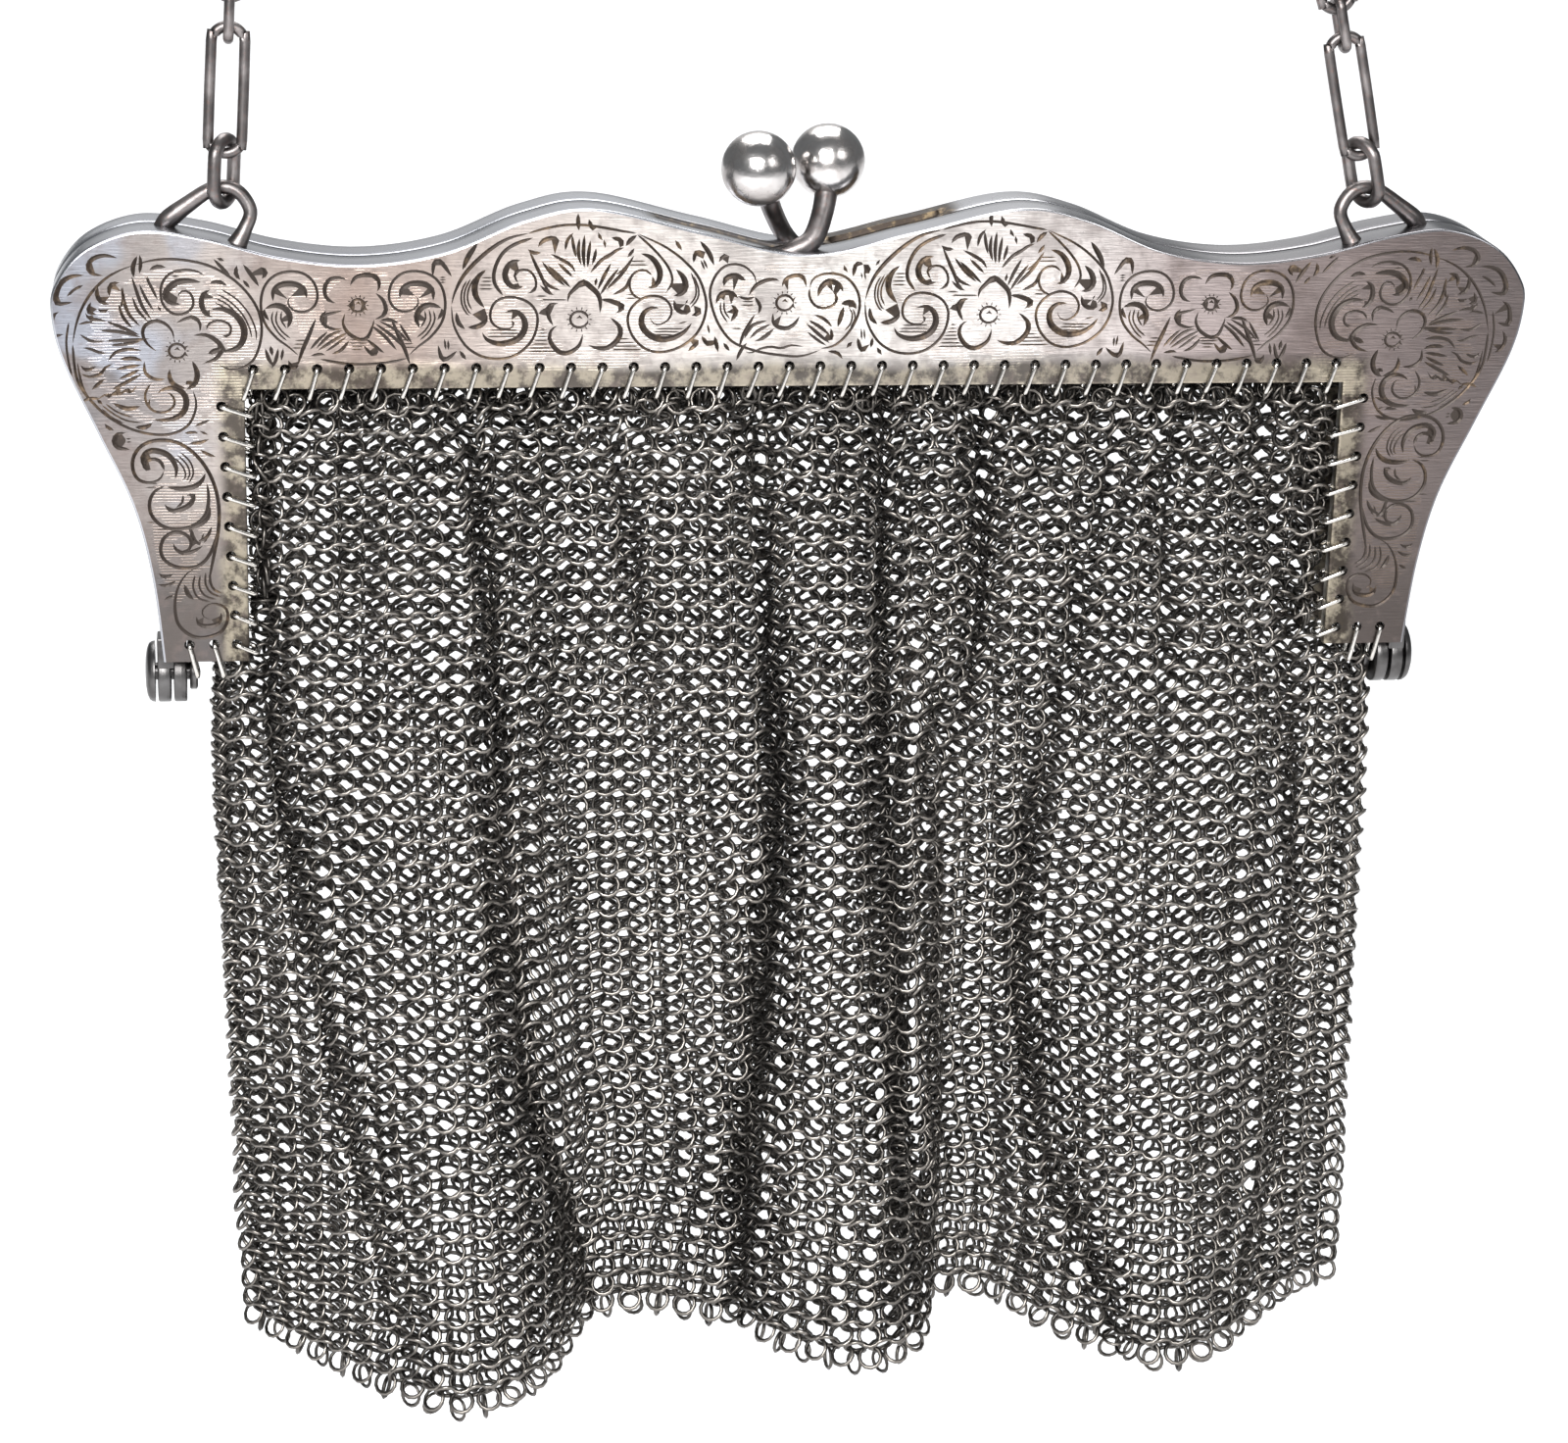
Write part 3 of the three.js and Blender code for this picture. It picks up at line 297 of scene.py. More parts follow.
CREST_STROKES = (
    (0.15, "-28,15.68 -26.5,16.12 -24.5,16.5 -22.5,16.52 -20.5,16.25 -18.5,15.88 -17.2,15.68"),
    (0.35, "-27.88,15.7 -29.75,15.25 -31.45,14.3 -33.25,12.75 -34.5,11.25 -35.2,9.8 -35.55,8.5"),
    (0.15,
     "-35.55,8.5 -35.38,6.75 -34.75,5.25 -33.75,4 -32.25,3.2 -30.5,3.05 -29,3.5 -27.75,4.62 "
     "-27.12,6 -27.05,7.5 -27.75,8.62 -29,9.2 -30.25,9.25 -31.25,8.75 -31.7,7.75 "
     "-31.55,6.75 -30.75,6.12 -29.75,6.1 -29.3,6.62 -29.62,6.95"),
    (0.15,
     "-17.2,15.68 -16,15.12 -14.25,14.25 -12.5,12.95 -11,11.25 -10.25,9.25 -10.18,7.75 "
     "-10.62,6.25 -11.5,5 -13,4 -14.75,3.62 -16.25,4 -17.45,5.2 -18,6.75 -17.75,8 -16.75,9 "
     "-15.5,9.38 -14.25,9 -13.62,8 -13.88,7 -14.75,6.45 -15.5,6.62 -15.8,7.3"),
    (0.2, "-27.5,15.25 -29.25,14.62 -30.5,13.7 -31.25,12.2 -31.3,10.75 -30.45,9.45"),
    (0.5, "-28.7,13 -29.7,12.75 -30.25,11.75 -30,10.75 -29.25,10.25 -28.38,10.38"),
    (0.14,
     "-28.95,10.7 -29.25,11.25 -29.25,11.75 -28.55,12.05 -27.75,11.88 -27.2,11 -27.3,10 "
     "-28.05,9.65"),
    (0.5, "-32.12,12.05 -32.88,11.38 -33.25,10.38 -33.12,9.38 -32.62,8.62 -32.25,8.2"),
    (0.1, "-34,11 -34.5,10 -34.55,8.75 -34.12,7.75 -33.7,7.38"),
    (0.1, "-33.62,11.2 -34.2,10 -34.25,8.75 -33.8,7.75 -33.5,7.55"),
    (0.1, "-33.3,11.25 -33.88,10 -33.92,8.88 -33.5,7.95"),
    (0.38, "-35.05,7.8 -34.88,6.75 -34.2,6.05"),
    (0.45, "-33.95,6.25 -33,6.3 -32.25,6.75 -31.95,7.3"),
    (0.55,
     "-30.3,7.75 -29.25,7.88 -28.45,7.25 -28.25,6.25 -28.75,5.25 -29.75,4.7 -31,4.6 "
     "-32.1,5.05 -32.5,5.75"),
    (0.45,
     "-24,8.75 -23.88,9.5 -23.25,10.2 -22.5,10.8 -21.7,10.25 -20.95,9.45 -20.75,8.45 "
     "-20.8,7.62"),
    (0.35, "-24.95,8.65 -25.75,8.5 -26,8 -25.88,7.2 -25.45,6.38"),
    (0.4,
     "-25,6.38 -25.62,5.95 -25.8,5 -25.2,4 -24.57,3.6 -23.85,3.62 -22.95,4.2 -22.6,4.95 "
     "-22.5,5.55"),
    (0.45, "-21.93,4.38 -21,4.07 -19.95,4.12 -18.95,4.95 -18.7,6 -19.25,6.75 -19.8,7.18"),
    (0.42, "-20.75,9 -19.7,8.85 -18.45,8.25 -19.2,7.62"),
    (0.3, "-26.62,8 -26.05,8 -25.75,7.5"),
    (0.3, "-27.88,14 -27.2,12.5 -26.6,11.25 -26.1,10.12 -25.45,9.5"),
    (0.3, "-25.75,13.62 -24.75,13.12 -23.7,12.45 -23.25,11.7"),
    (0.3, "-26.62,12.88 -25.5,11.5 -24.25,10.38"),
    (0.3, "-26.05,12.5 -24.75,11.25 -23.7,10.2"),
    (0.28, "-25.05,12.75 -24,11.75 -23.5,11.25"),
    (0.28, "-27,11.75 -26,10.5 -24.75,9.95"),
    (0.25, "-26.8,10.5 -26,9.75 -25.38,9.5"),
    (0.32, "-28,14.1 -27.5,13.75 -26.7,13.75"),
    (0.32, "-22.38,12.2 -22.5,13.75 -22.4,15.55"),
    (0.3, "-22.7,12.5 -23,13.75 -22.9,15.2"),
    (0.3, "-22.05,12.25 -22,13.5 -21.8,15"),
    (0.28, "-23.2,13.2 -23.5,14.5 -23.65,15.55"),
    (0.28, "-21.62,12.5 -21.35,13.45 -21.25,14.2"),
    (0.35, "-23.05,17.7 -23.05,16.8 -22.95,15.95"),
    (0.35, "-22,17.1 -21.8,16.5 -21.6,15.95"),
    (0.28, "-23.5,15.75 -24.1,15 -24.3,13.95"),
    (0.3, "-21.05,15.8 -20.88,15.3 -20.6,14.95"),
    (0.25, "-20.5,15.1 -20.3,14.2"),
    (0.3, "-20.8,9.45 -20,10.75 -18.95,12.2"),
    (0.3, "-21.05,9.95 -20.5,11.25 -19.7,12.75"),
    (0.3, "-20.2,10 -18.95,11.25 -17.9,12.5"),
    (0.3, "-19.55,9.5 -18.25,10.2 -17.85,11.38"),
    (0.28, "-21.3,10.38 -21.15,11.25"),
    (0.3, "-21.8,11.7 -20.75,12.95 -19.45,13.88"),
    (0.28, "-20.5,12.95 -19.25,13.95 -18.45,14.25"),
    (0.25, "-19.25,11.5 -18.25,12.25 -17.45,13.45"),
    (0.28, "-18.12,13.25 -17.62,13.88 -17.45,14.2"),
    (0.4, "-27,14.3 -26.5,14.95 -25.5,15.25 -24.9,15"),
    (0.38, "-19.75,15.25 -18.8,15 -18.5,14.45"),
    (0.38, "-18.3,14.38 -17.8,15.05 -17.2,15.5"),
    (0.5, "-16.8,13.65 -15.75,13.25 -15,12.25 -14.85,11.25 -15.3,10.38 -16.05,10.18"),
    (0.14, "-15.6,11.38 -16.25,11.93 -17.12,11.88 -17.75,11.25 -17.85,10.25 -17.38,9.38 -16.5,9"),
    (0.14, "-17.2,15.6 -15.95,14.5 -14.75,13.25 -13.88,12 -13.6,10.75 -14.25,9.65"),
    (0.5, "-13.25,12.05 -12.5,11.25 -12.25,10.25 -12.7,9.55 -13.45,9.38"),
    (0.4, "-13.4,8.95 -13.12,8 -12.25,7.62 -11.7,7.75"),
    (0.42, "-11.6,7.35 -10.88,7.6 -10.7,8.1"),
    (0.1, "-11.45,11.38 -10.95,10 -11.05,9 -11.75,8.12"),
    (0.1, "-11.75,11.75 -11.25,10.38 -11.25,9.25 -11.88,8.38"),
    (0.1, "-12,9 -12.25,8.5"),
    (0.55,
     "-14.8,8.12 -15.75,8.12 -16.5,7.5 -16.6,6.45 -15.95,5.5 -14.75,4.95 -13.38,5.1 "
     "-12.25,5.75 -11.55,6.62"),
    (0.08, "-32.62,11.25 -31.38,11.25"),
    (0.08, "-32.7,10.88 -31.45,10.88"),
    (0.08, "-32.88,10.5 -31.45,10.5"),
    (0.08, "-32.88,10.12 -31.38,10.12"),
    (0.08, "-31.75,5.95 -28.88,5.95"),
    (0.08, "-32,5.62 -28.7,5.62"),
    (0.08, "-32.12,5.3 -29,5.3"),
    (0.08, "-26.88,9 -24,9"),
    (0.08, "-27.25,9.38 -26,9.38"),
    (0.08, "-26.88,6 -26,6"),
    (0.08, "-27,5.62 -26,5.62"),
    (0.08, "-27.12,5.25 -26,5.25"),
    (0.08, "-27.38,4.88 -25.88,4.88"),
    (0.08, "-27.62,4.5 -25.75,4.5"),
    (0.08, "-27.88,4.12 -25.5,4.12"),
    (0.08, "-28,3.75 -25,3.75"),
    (0.08, "-15.25,6 -12.25,6"),
    (0.08, "-15.5,5.7 -12.75,5.7"),
    (0.08, "-15.38,5.38 -13.25,5.38"),
    (0.08, "-18,12.88 -16.25,12.88"),
    (0.08, "-18.12,12.5 -16,12.5"),
    (0.08, "-18.25,9.5 -17.25,9.5"),
    (0.08, "-18.38,9.12 -17.12,9.12"),
    (0.08, "-19.12,5 -17.75,5"),
    (0.08, "-19.25,4.62 -17.25,4.62"),
    (0.08, "-19.5,4.25 -16.88,4.25"),
    (0.08, "-19.75,3.88 -16.5,3.88"),
    (0.08, "-13,6.5 -12,6.75"),
)
MIDDLE_STROKES = (
    (0.15,
     "-5.12,10.45 -5.45,11.5 -6.45,12.35 -7.5,12.55 -8.5,12.25 -9.38,11.2 -9.8,9.7 -9.5,8 "
     "-8.75,6.25 -7.5,4.7 -6,4 -4.75,3.62 -3,3.3 -0.5,3.12 1.5,3.75"),
    (0.5, "-8.4,10.3 -8.25,11.1 -7.2,11.38 -6.2,10.85"),
    (0.45, "-9.18,8.55 -8.7,9.5 -7.7,9.65 -6.95,9.1"),
    (0.4, "-7.65,8.45 -7.1,7.75 -7.65,6.7"),
    (0.1, "-8.7,8.75 -8.65,7.7 -7.95,6.6"),
    (0.1, "-8.35,8.88 -8.3,7.8 -7.7,6.95"),
    (0.35, "-5.9,9.35 -5.25,10.35 -4.2,10.9 -3.35,11 -2.8,10.85"),
    (0.35, "-2.55,10.2 -2.25,11 -1.35,11.38 -0.45,11.25 -0.1,10.2"),
    (0.38, "-3.38,7.6 -3.38,6.75 -2.95,6.2 -1.95,6 -1.2,6.45 -0.7,7.25"),
    (0.3, "-5.3,9.25 -4.7,8.25 -4.9,7.45"),
    (0.25, "-7,9.3 -6,9 -5.25,9.25"),
    (0.3, "-3.95,6.8 -5.45,6.3 -6.25,4.95"),
    (0.28, "-3.2,6 -4.5,4.95 -5.2,4.7"),
    (0.28, "-3.6,6.45 -4.95,5.7 -5.7,4.95"),
    (0.25, "-3.45,5.62 -4.25,5 -4.7,4.7"),
    (0.3, "-6.75,4 -6.3,5.5 -5.2,7.5"),
    (0.3, "-7,2.7 -6.55,3.75 -5.95,4.55"),
    (0.22, "-6.12,3.62 -5.5,3.5 -4.45,3.95 -3.45,4.1 -2.45,3.95 -1.45,4.25 -0.2,4.1"),
    (0.08, "-7.62,6 -6.38,6"),
    (0.08, "-6.62,8.75 -5.25,8.75"),
    (0.08, "-6.75,8.38 -5.2,8.38"),
    (0.15,
     "0.25,10.12 0.55,11 1.5,11.5 2.75,11.57 4,11.12 5,9.95 5.38,8.5 5.12,7 4.25,5.45 "
     "3,4.25 1.5,3.88"),
    (0.15, "0.25,10.12 0.25,9.25 0.8,8.35 1.75,8.05 2.7,8.38 3.05,9.12 2.62,9.7"),
    (0.5, "1.1,9.2 1.4,10.2 2.25,10.8 3.25,10.4 3.65,9.7"),
    (0.5, "3.45,8.45 4.5,8.62 5.05,7.95"),
    (0.4, "3.75,8.2 3.5,7.2 3.2,6.1"),
    (0.1, "4.25,8.1 4.65,7.45 4.5,6.45 3.88,5.7"),
    (0.1, "4.65,8 4.95,7.05 4.45,5.95"),
    (0.3, "0,6.5 1.5,5.2 2.45,4.45"),
    (0.3, "0.2,6.8 1.3,6.2 2.5,5.2"),
    (0.28, "0.75,7.38 1.8,6.95 2.65,6.1"),
    (0.25, "0.12,5.62 1.25,4.75 2.12,4.2"),
    (0.3, "2.5,6 2.65,5 2.25,4.7"),
    (0.3, "3.62,12.45 3.75,12.05 4.05,11.7"),
    (0.35, "4.6,11.25 4.85,12.5 5.4,12.75"),
    (0.35, "5.6,12.5 6.15,12.2 6.2,11.55"),
    (0.1, "5.7,11.88 5.9,10.88"),
    (0.1, "5.4,11.75 5.55,11"),
    (0.25, "6.85,12.35 7.3,13"),
    (0.35, "4.15,3.95 4.75,4.6"),
    (0.35, "5.25,5 5.65,3.75 6.1,3.6"),
    (0.1, "5.6,6 5.7,4.75"),
    (0.1, "5.9,5.95 6,4.75"),
    (0.3, "6.8,5 6.65,3.95"),
    (0.35, "7.25,4 7.8,3.2"),
    (0.3, "2.25,3.62 3.25,3.45 3.8,2.8"),
)
TICK_STROKES = (
    (0.3, "-58.75,13.2 -58.12,12.5 -57.12,11.45"),
    (0.28, "-58.45,13.3 -57.7,13"),
    (0.36, "-56.5,12.55 -56.62,11.75 -56.2,11.1"),
    (0.36, "-55.9,12.65 -55.12,11.6 -54.4,10.45"),
    (0.28, "-55.95,11.1 -55.3,10.3"),
    (0.36, "-54.15,12.38 -53.7,11.88 -54.1,11.2"),
    (0.32, "-53.9,4.25 -53.6,3.25 -53.1,2.35"),
    (0.2, "-53.38,4.5 -53.2,3.45"),
    (0.3, "-52.6,4.25 -52.88,3 -53.3,2.2"),
    (0.25, "-52.12,4.25 -52.35,2.95"),
    (0.36, "-51.65,3 -51.25,2.2 -50.6,2.5"),
    (0.38, "-37.38,11.38 -37.25,12.7 -36.62,12.9 -35.5,11.35"),
    (0.1, "-36.75,11.3 -36.05,11.3"),
    (0.1, "-36.75,11.05 -36.05,11.05"),
    (0.1, "-36.7,10.8 -36.1,10.8"),
    (0.36, "-36.88,4.45 -36.45,3 -35.7,3.25 -35,3.88"),
    (0.12, "-36.25,5.12 -36.1,3.95"),
    (0.12, "-35.88,5 -35.85,3.95"),
    (0.32, "-34.75,3.88 -34.1,2.95"),
    (0.45, "-34.45,12.05 -33.88,13.38 -32.95,14.75"),
)
INNER_TICK_STROKES = (
    (0.32, "-13.38,15 -12.7,13.95"),
    (0.32, "-11.5,12.7 -11.35,13.7 -10.95,14"),
    (0.4, "-10.9,14.9 -10,13.75 -9.45,12.45"),
    (0.12, "-10.8,13 -10.35,11.95"),
    (0.12, "-10.55,13.1 -10.1,12.1"),
    (0.32, "-8.95,12.75 -8.55,13.4 -7.95,13.4"),
    (0.36, "-11.9,3.7 -11,4.5 -10.85,4.85"),
    (0.36, "-10.55,5.25 -10,4.45 -9.55,4.25"),
    (0.34, "-9.25,5.25 -8.85,3.6"),
    (0.3, "-8.35,4.55 -7.7,3.7"),
    (0.12, "-10,6.5 -9.75,5.45"),
)

# Where each motif is cut: its strokes, the vertical line that it is mirrored about (or None),
# and how far it is moved.
MOTIFS = (
    (CORNER_STROKES, None, 0, 0),
    (CORNER_STROKES, -0.8, 0, 0.5),
    (LEG_STROKES, None, 0, 0),
    (LEG_STROKES, 0, 0, 1.5),
    (SMALL_STROKES, None, 0, 0),
    (SMALL_STROKES, -45.2, 0, 0),
    (BLOOM_STROKES, None, 0, 0),
    (SMALL_STROKES, None, 86.3, -0.2),
    (SMALL_STROKES, -45.2, 86.3, -0.2),
    (BLOOM_STROKES, None, 86.3, -0.2),
    (CREST_STROKES, None, 0, 0),
    (CREST_STROKES, None, 41.45, 0.3),
    (MIDDLE_STROKES, None, 0, 0),
    (TICK_STROKES, None, 0, 0),
    (TICK_STROKES, -2.1, 0, 0),
    (INNER_TICK_STROKES, None, 0, 0),
)
# The seed head of each flower: x, z and radius.
FLOWERS = (
    (-62.5, 4.0, 0.8), (60.9, 4.5, 0.8), (-44.75, 8.5, 0.7), (41.55, 8.3, 0.7),
    (-22.85, 7.0, 0.9), (18.6, 7.3, 0.9), (-2.25, 8.6, 0.85),
)
SEED_RAYS, SEED_RAY_WIDTH, SEED_RAY_REACH = 14, 0.075, (0.04, 0.24, 0.44)
SEED_RING_WIDTH, SEED_WIDTH = 0.15, 0.16
# Strokes narrower than this are even lines, and are cut wider than they are drawn.
THIN_STROKE, THIN_WEIGHT = 0.21, 1.5


# The plates' silver from left to right: a painted highlight in the middle, tarnish and painted
# shade at the ends.
SILVER_SHEEN_AND_TARNISH = (
    (-74, (0.16, 0.15, 0.155)), (-58, (0.46, 0.41, 0.38)), (-46, (0.34, 0.265, 0.23)),
    (-22, (0.68, 0.62, 0.58)), (8, (0.82, 0.78, 0.74)), (24, (0.78, 0.72, 0.69)),
    (38, (0.46, 0.39, 0.375)), (54, (0.25, 0.205, 0.195)), (70, (0.16, 0.135, 0.13)),
)
# The rim's silver, also from left to right, with painted reflection and shade: lighter at the left
# end and over the crests, darker between and towards the right.
RIM_SHADE_AND_SHEEN = (
    (-74, (0.42, 0.43, 0.46)), (-52, (0.24, 0.24, 0.26)), (-20, (0.44, 0.45, 0.48)),
    (22, (0.46, 0.46, 0.48)), (46, (0.27, 0.26, 0.27)), (72, (0.2, 0.2, 0.215)),
)
# Where fine lines are cut behind the scrolls: the line that a motif is mirrored about, its
# middle from there, its half width and half height, and its flower's radius.
HATCHED = (
    (-0.8, 61.7, 4.2, 9.4, 8.6, 3.5), (-1.6, 43.2, 8.2, 7.6, 4.2, 3.0),
    (-2.1, 20.7, 7.6, 10.4, 6.4, 3.4), (-2.25, 0, 8.8, 7.6, 4.2, 2.9), (0, 62.2, -13, 3.4, 10, 0.1),
)
HATCH_PITCH = 0.3


class PurseFrameSettings(bpy.types.PropertyGroup):
    opening: FloatProperty(
        name="Opening", description="Width of the mouth between the legs",
        default=0.112, min=0.05, unit="LENGTH",
    )
    leg_length: FloatProperty(
        name="Leg length", description="From the mouth line to the foot of a leg",
        default=0.0282, min=0.01, unit="LENGTH",
    )
    leg_width: FloatProperty(
        name="Leg width", description="Width of a leg at its foot",
        default=0.0086, min=0.004, unit="LENGTH",
    )
    flare: FloatProperty(
        name="Shoulder flare", description="How far a shoulder stands out past the foot of its leg",
        default=0.01, min=0, unit="LENGTH",
    )
    crest: FloatProperty(
        name="Crest", description="Height of the crests above the mouth line",
        default=0.0181, min=0.005, unit="LENGTH",
    )
    depth: FloatProperty(
        name="Depth", description="Depth of the closed frame, both halves together",
        default=0.009, min=0.004, unit="LENGTH",
    )
    plate: FloatProperty(
        name="Plate", description="Thickness of a plate",
        default=0.001, min=0.0003, unit="LENGTH",
    )
    part_gap: FloatProperty(
        name="Gap", description="Gap between the two closed halves",
        default=0.0003, min=0, unit="LENGTH",
    )
    groove_slope: FloatProperty(
        name="Groove slope",
        description="Depth of an engraved groove for each unit of its half width",
        default=0.6, min=0, max=1,
    )
    groove_weight: FloatProperty(
        name="Groove weight", description="Width of the engraved strokes over their drawn width",
        default=1.25, min=0.5, max=2,
    )
    notch: FloatProperty(
        name="Thumb notch", description="Depth of the thumb notches beside the clasp",
        default=0.0005, min=0, unit="LENGTH",
    )


class PurseSewingSettings(bpy.types.PropertyGroup):
    pitch: FloatProperty(
        name="Hole pitch", description="Distance between the sewing holes under the rim",
        default=0.00315, min=0.001, unit="LENGTH",
    )
    hole: FloatProperty(
        name="Hole", description="Diameter of a sewing hole",
        default=0.00105, min=0.0004, unit="LENGTH",
    )
    wire: FloatProperty(
        name="Sewing wire", description="Diameter of a sewing ring's wire",
        default=0.0005, min=0.0001, unit="LENGTH",
    )


class PurseClaspSettings(bpy.types.PropertyGroup):
    ball: FloatProperty(
        name="Ball", description="Diameter of a clasp ball",
        default=0.0075, min=0.003, unit="LENGTH",
    )
    lug: FloatProperty(
        name="Hinge lug", description="Diameter of a hinge lug",
        default=0.0063, min=0.003, unit="LENGTH",
    )
    lug_thickness: FloatProperty(
        name="Lug thickness", description="Thickness of a hinge lug",
        default=0.0013, min=0.0005, unit="LENGTH",
    )
    hinge_drop: FloatProperty(
        name="Hinge drop", description="How far the hinge's middle lies below the foot of a leg",
        default=0.0024, min=0, unit="LENGTH",
    )


class PurseMeshSettings(bpy.types.PropertyGroup):
    drop: FloatProperty(
        name="Drop",
        description="From the mouth line down to the hem where it isn't folded forward",
        default=0.108, min=0.02, unit="LENGTH",
    )
    fold: FloatProperty(
        name="Fold depth", description="Depth of the folds at the hem",
        default=0.016, min=0, unit="LENGTH",
    )
    ring: FloatProperty(
        name="Ring", description="Outside diameter of a mesh ring",
        default=0.00285, min=0.001, unit="LENGTH",
    )
    wire: FloatProperty(
        name="Ring wire", description="Diameter of a mesh ring's wire",
        default=0.00044, min=0.0001, unit="LENGTH",
    )
    row_pitch: FloatProperty(
        name="Row pitch", description="Distance between one row of rings and the next",
        default=0.001165, min=0.0005, unit="LENGTH",
    )
    columns: IntProperty(
        name="Columns", description="Rings in a row across one side of the bag",
        default=55, min=12,
    )
    tilt: FloatProperty(
        name="Tilt", description="How far a row of rings tips out of the sheet",
        default=math.radians(40), subtype="ANGLE",
    )
    turn: FloatProperty(
        name="Turn",
        description="How far a ring turns about the upright, so that neighbours overlap",
        default=math.radians(9), subtype="ANGLE",
    )
    seed: IntProperty(name="Seed", description="Start of the small random changes", default=7)


class PurseFinishSettings(bpy.types.PropertyGroup):
    tarnish: FloatVectorProperty(
        name="Tarnish", description="Tarnished silver at the ends of the frame",
        subtype="COLOR", size=3, default=(0.17, 0.135, 0.125), min=0, max=1,
    )
    lip: FloatVectorProperty(
        name="Lip", description="Yellowed silver along the sewing holes",
        subtype="COLOR", size=3, default=(0.3, 0.265, 0.205), min=0, max=1,
    )
    groove: FloatVectorProperty(
        name="Groove", description="Dark oxide in the engraving",
        subtype="COLOR", size=3, default=(0.035, 0.026, 0.021), min=0, max=1,
    )
    rim: FloatVectorProperty(
        name="Rim", description="Dull patches on the cool silver of the rim",
        subtype="COLOR", size=3, default=(0.15, 0.15, 0.16), min=0, max=1,
    )
    mesh_dark: FloatVectorProperty(
        name="Mesh, dark", description="Oxidised ring metal",
        subtype="COLOR", size=3, default=(0.03, 0.028, 0.026), min=0, max=1,
    )
    mesh_light: FloatVectorProperty(
        name="Mesh, worn", description="Worn ring metal",
        subtype="COLOR", size=3, default=(0.215, 0.198, 0.18), min=0, max=1,
    )
    chain: FloatVectorProperty(
        name="Chain", description="Dark metal of the chain and bails",
        subtype="COLOR", size=3, default=(0.12, 0.11, 0.108), min=0, max=1,
    )


class PurseStageSettings(bpy.types.PropertyGroup):
    lens: FloatProperty(
        name="Lens", description="Focal length for a film 36 mm wide",
        default=88.344, min=10, unit="CAMERA",
    )
    distance: FloatProperty(
        name="Distance", description="From the camera to its aim point",
        default=0.4, min=0.1, unit="LENGTH",
    )
    azimuth: FloatProperty(
        name="Azimuth", description="How far the camera stands to the left of the front",
        default=math.radians(8.206), subtype="ANGLE",
    )
    elevation: FloatProperty(
        name="Elevation", description="How far the camera looks down",
        default=math.radians(19), subtype="ANGLE",
    )
    roll: FloatProperty(
        name="Roll", description="Turn of the camera about its view",
        default=math.radians(1.617), subtype="ANGLE",
    )
    aim: FloatVectorProperty(
        name="Aim", description="Aim point from the middle of the mouth line",
        subtype="TRANSLATION", size=3, default=(-0.00112, 0, -0.03577),
    )
    floor_drop: FloatProperty(
        name="Floor", description="How far the floor lies below the hem",
        default=0.12, min=0.01, unit="LENGTH",
    )
    floor_colour: FloatVectorProperty(
        name="Floor colour", description="Pale floor",
        subtype="COLOR", size=3, default=(0.9, 0.9, 0.91), min=0, max=1,
    )
    daylight: FloatProperty(
        name="Room light", description="Strength of the even light from all round",
        default=0.22, min=0,
    )


class PurseSettings(bpy.types.PropertyGroup):
    frame: PointerProperty(type=PurseFrameSettings)
    sewing: PointerProperty(type=PurseSewingSettings)
    clasp: PointerProperty(type=PurseClaspSettings)
    mesh: PointerProperty(type=PurseMeshSettings)
    finish: PointerProperty(type=PurseFinishSettings)
    stage: PointerProperty(type=PurseStageSettings)


def settings():
    return bpy.context.scene.purse


def mm(metres):
    return metres / MM


def lerp(a, b, share):
    return a + (b - a) * share


# ---- Materials ----


class Value:
    """A number in a material. Python's operators on it add Math nodes."""

    def __init__(self, shader, socket):
        self.shader = shader
        self.socket = socket

    def __add__(self, other):
        return self.shader.maths("ADD", self, other)

    def __radd__(self, other):
        return self.shader.maths("ADD", other, self)

    def __sub__(self, other):
        return self.shader.maths("SUBTRACT", self, other)

    def __rsub__(self, other):
        return self.shader.maths("SUBTRACT", other, self)

    def __mul__(self, other):
        return self.shader.maths("MULTIPLY", self, other)

    def __rmul__(self, other):
        return self.shader.maths("MULTIPLY", other, self)


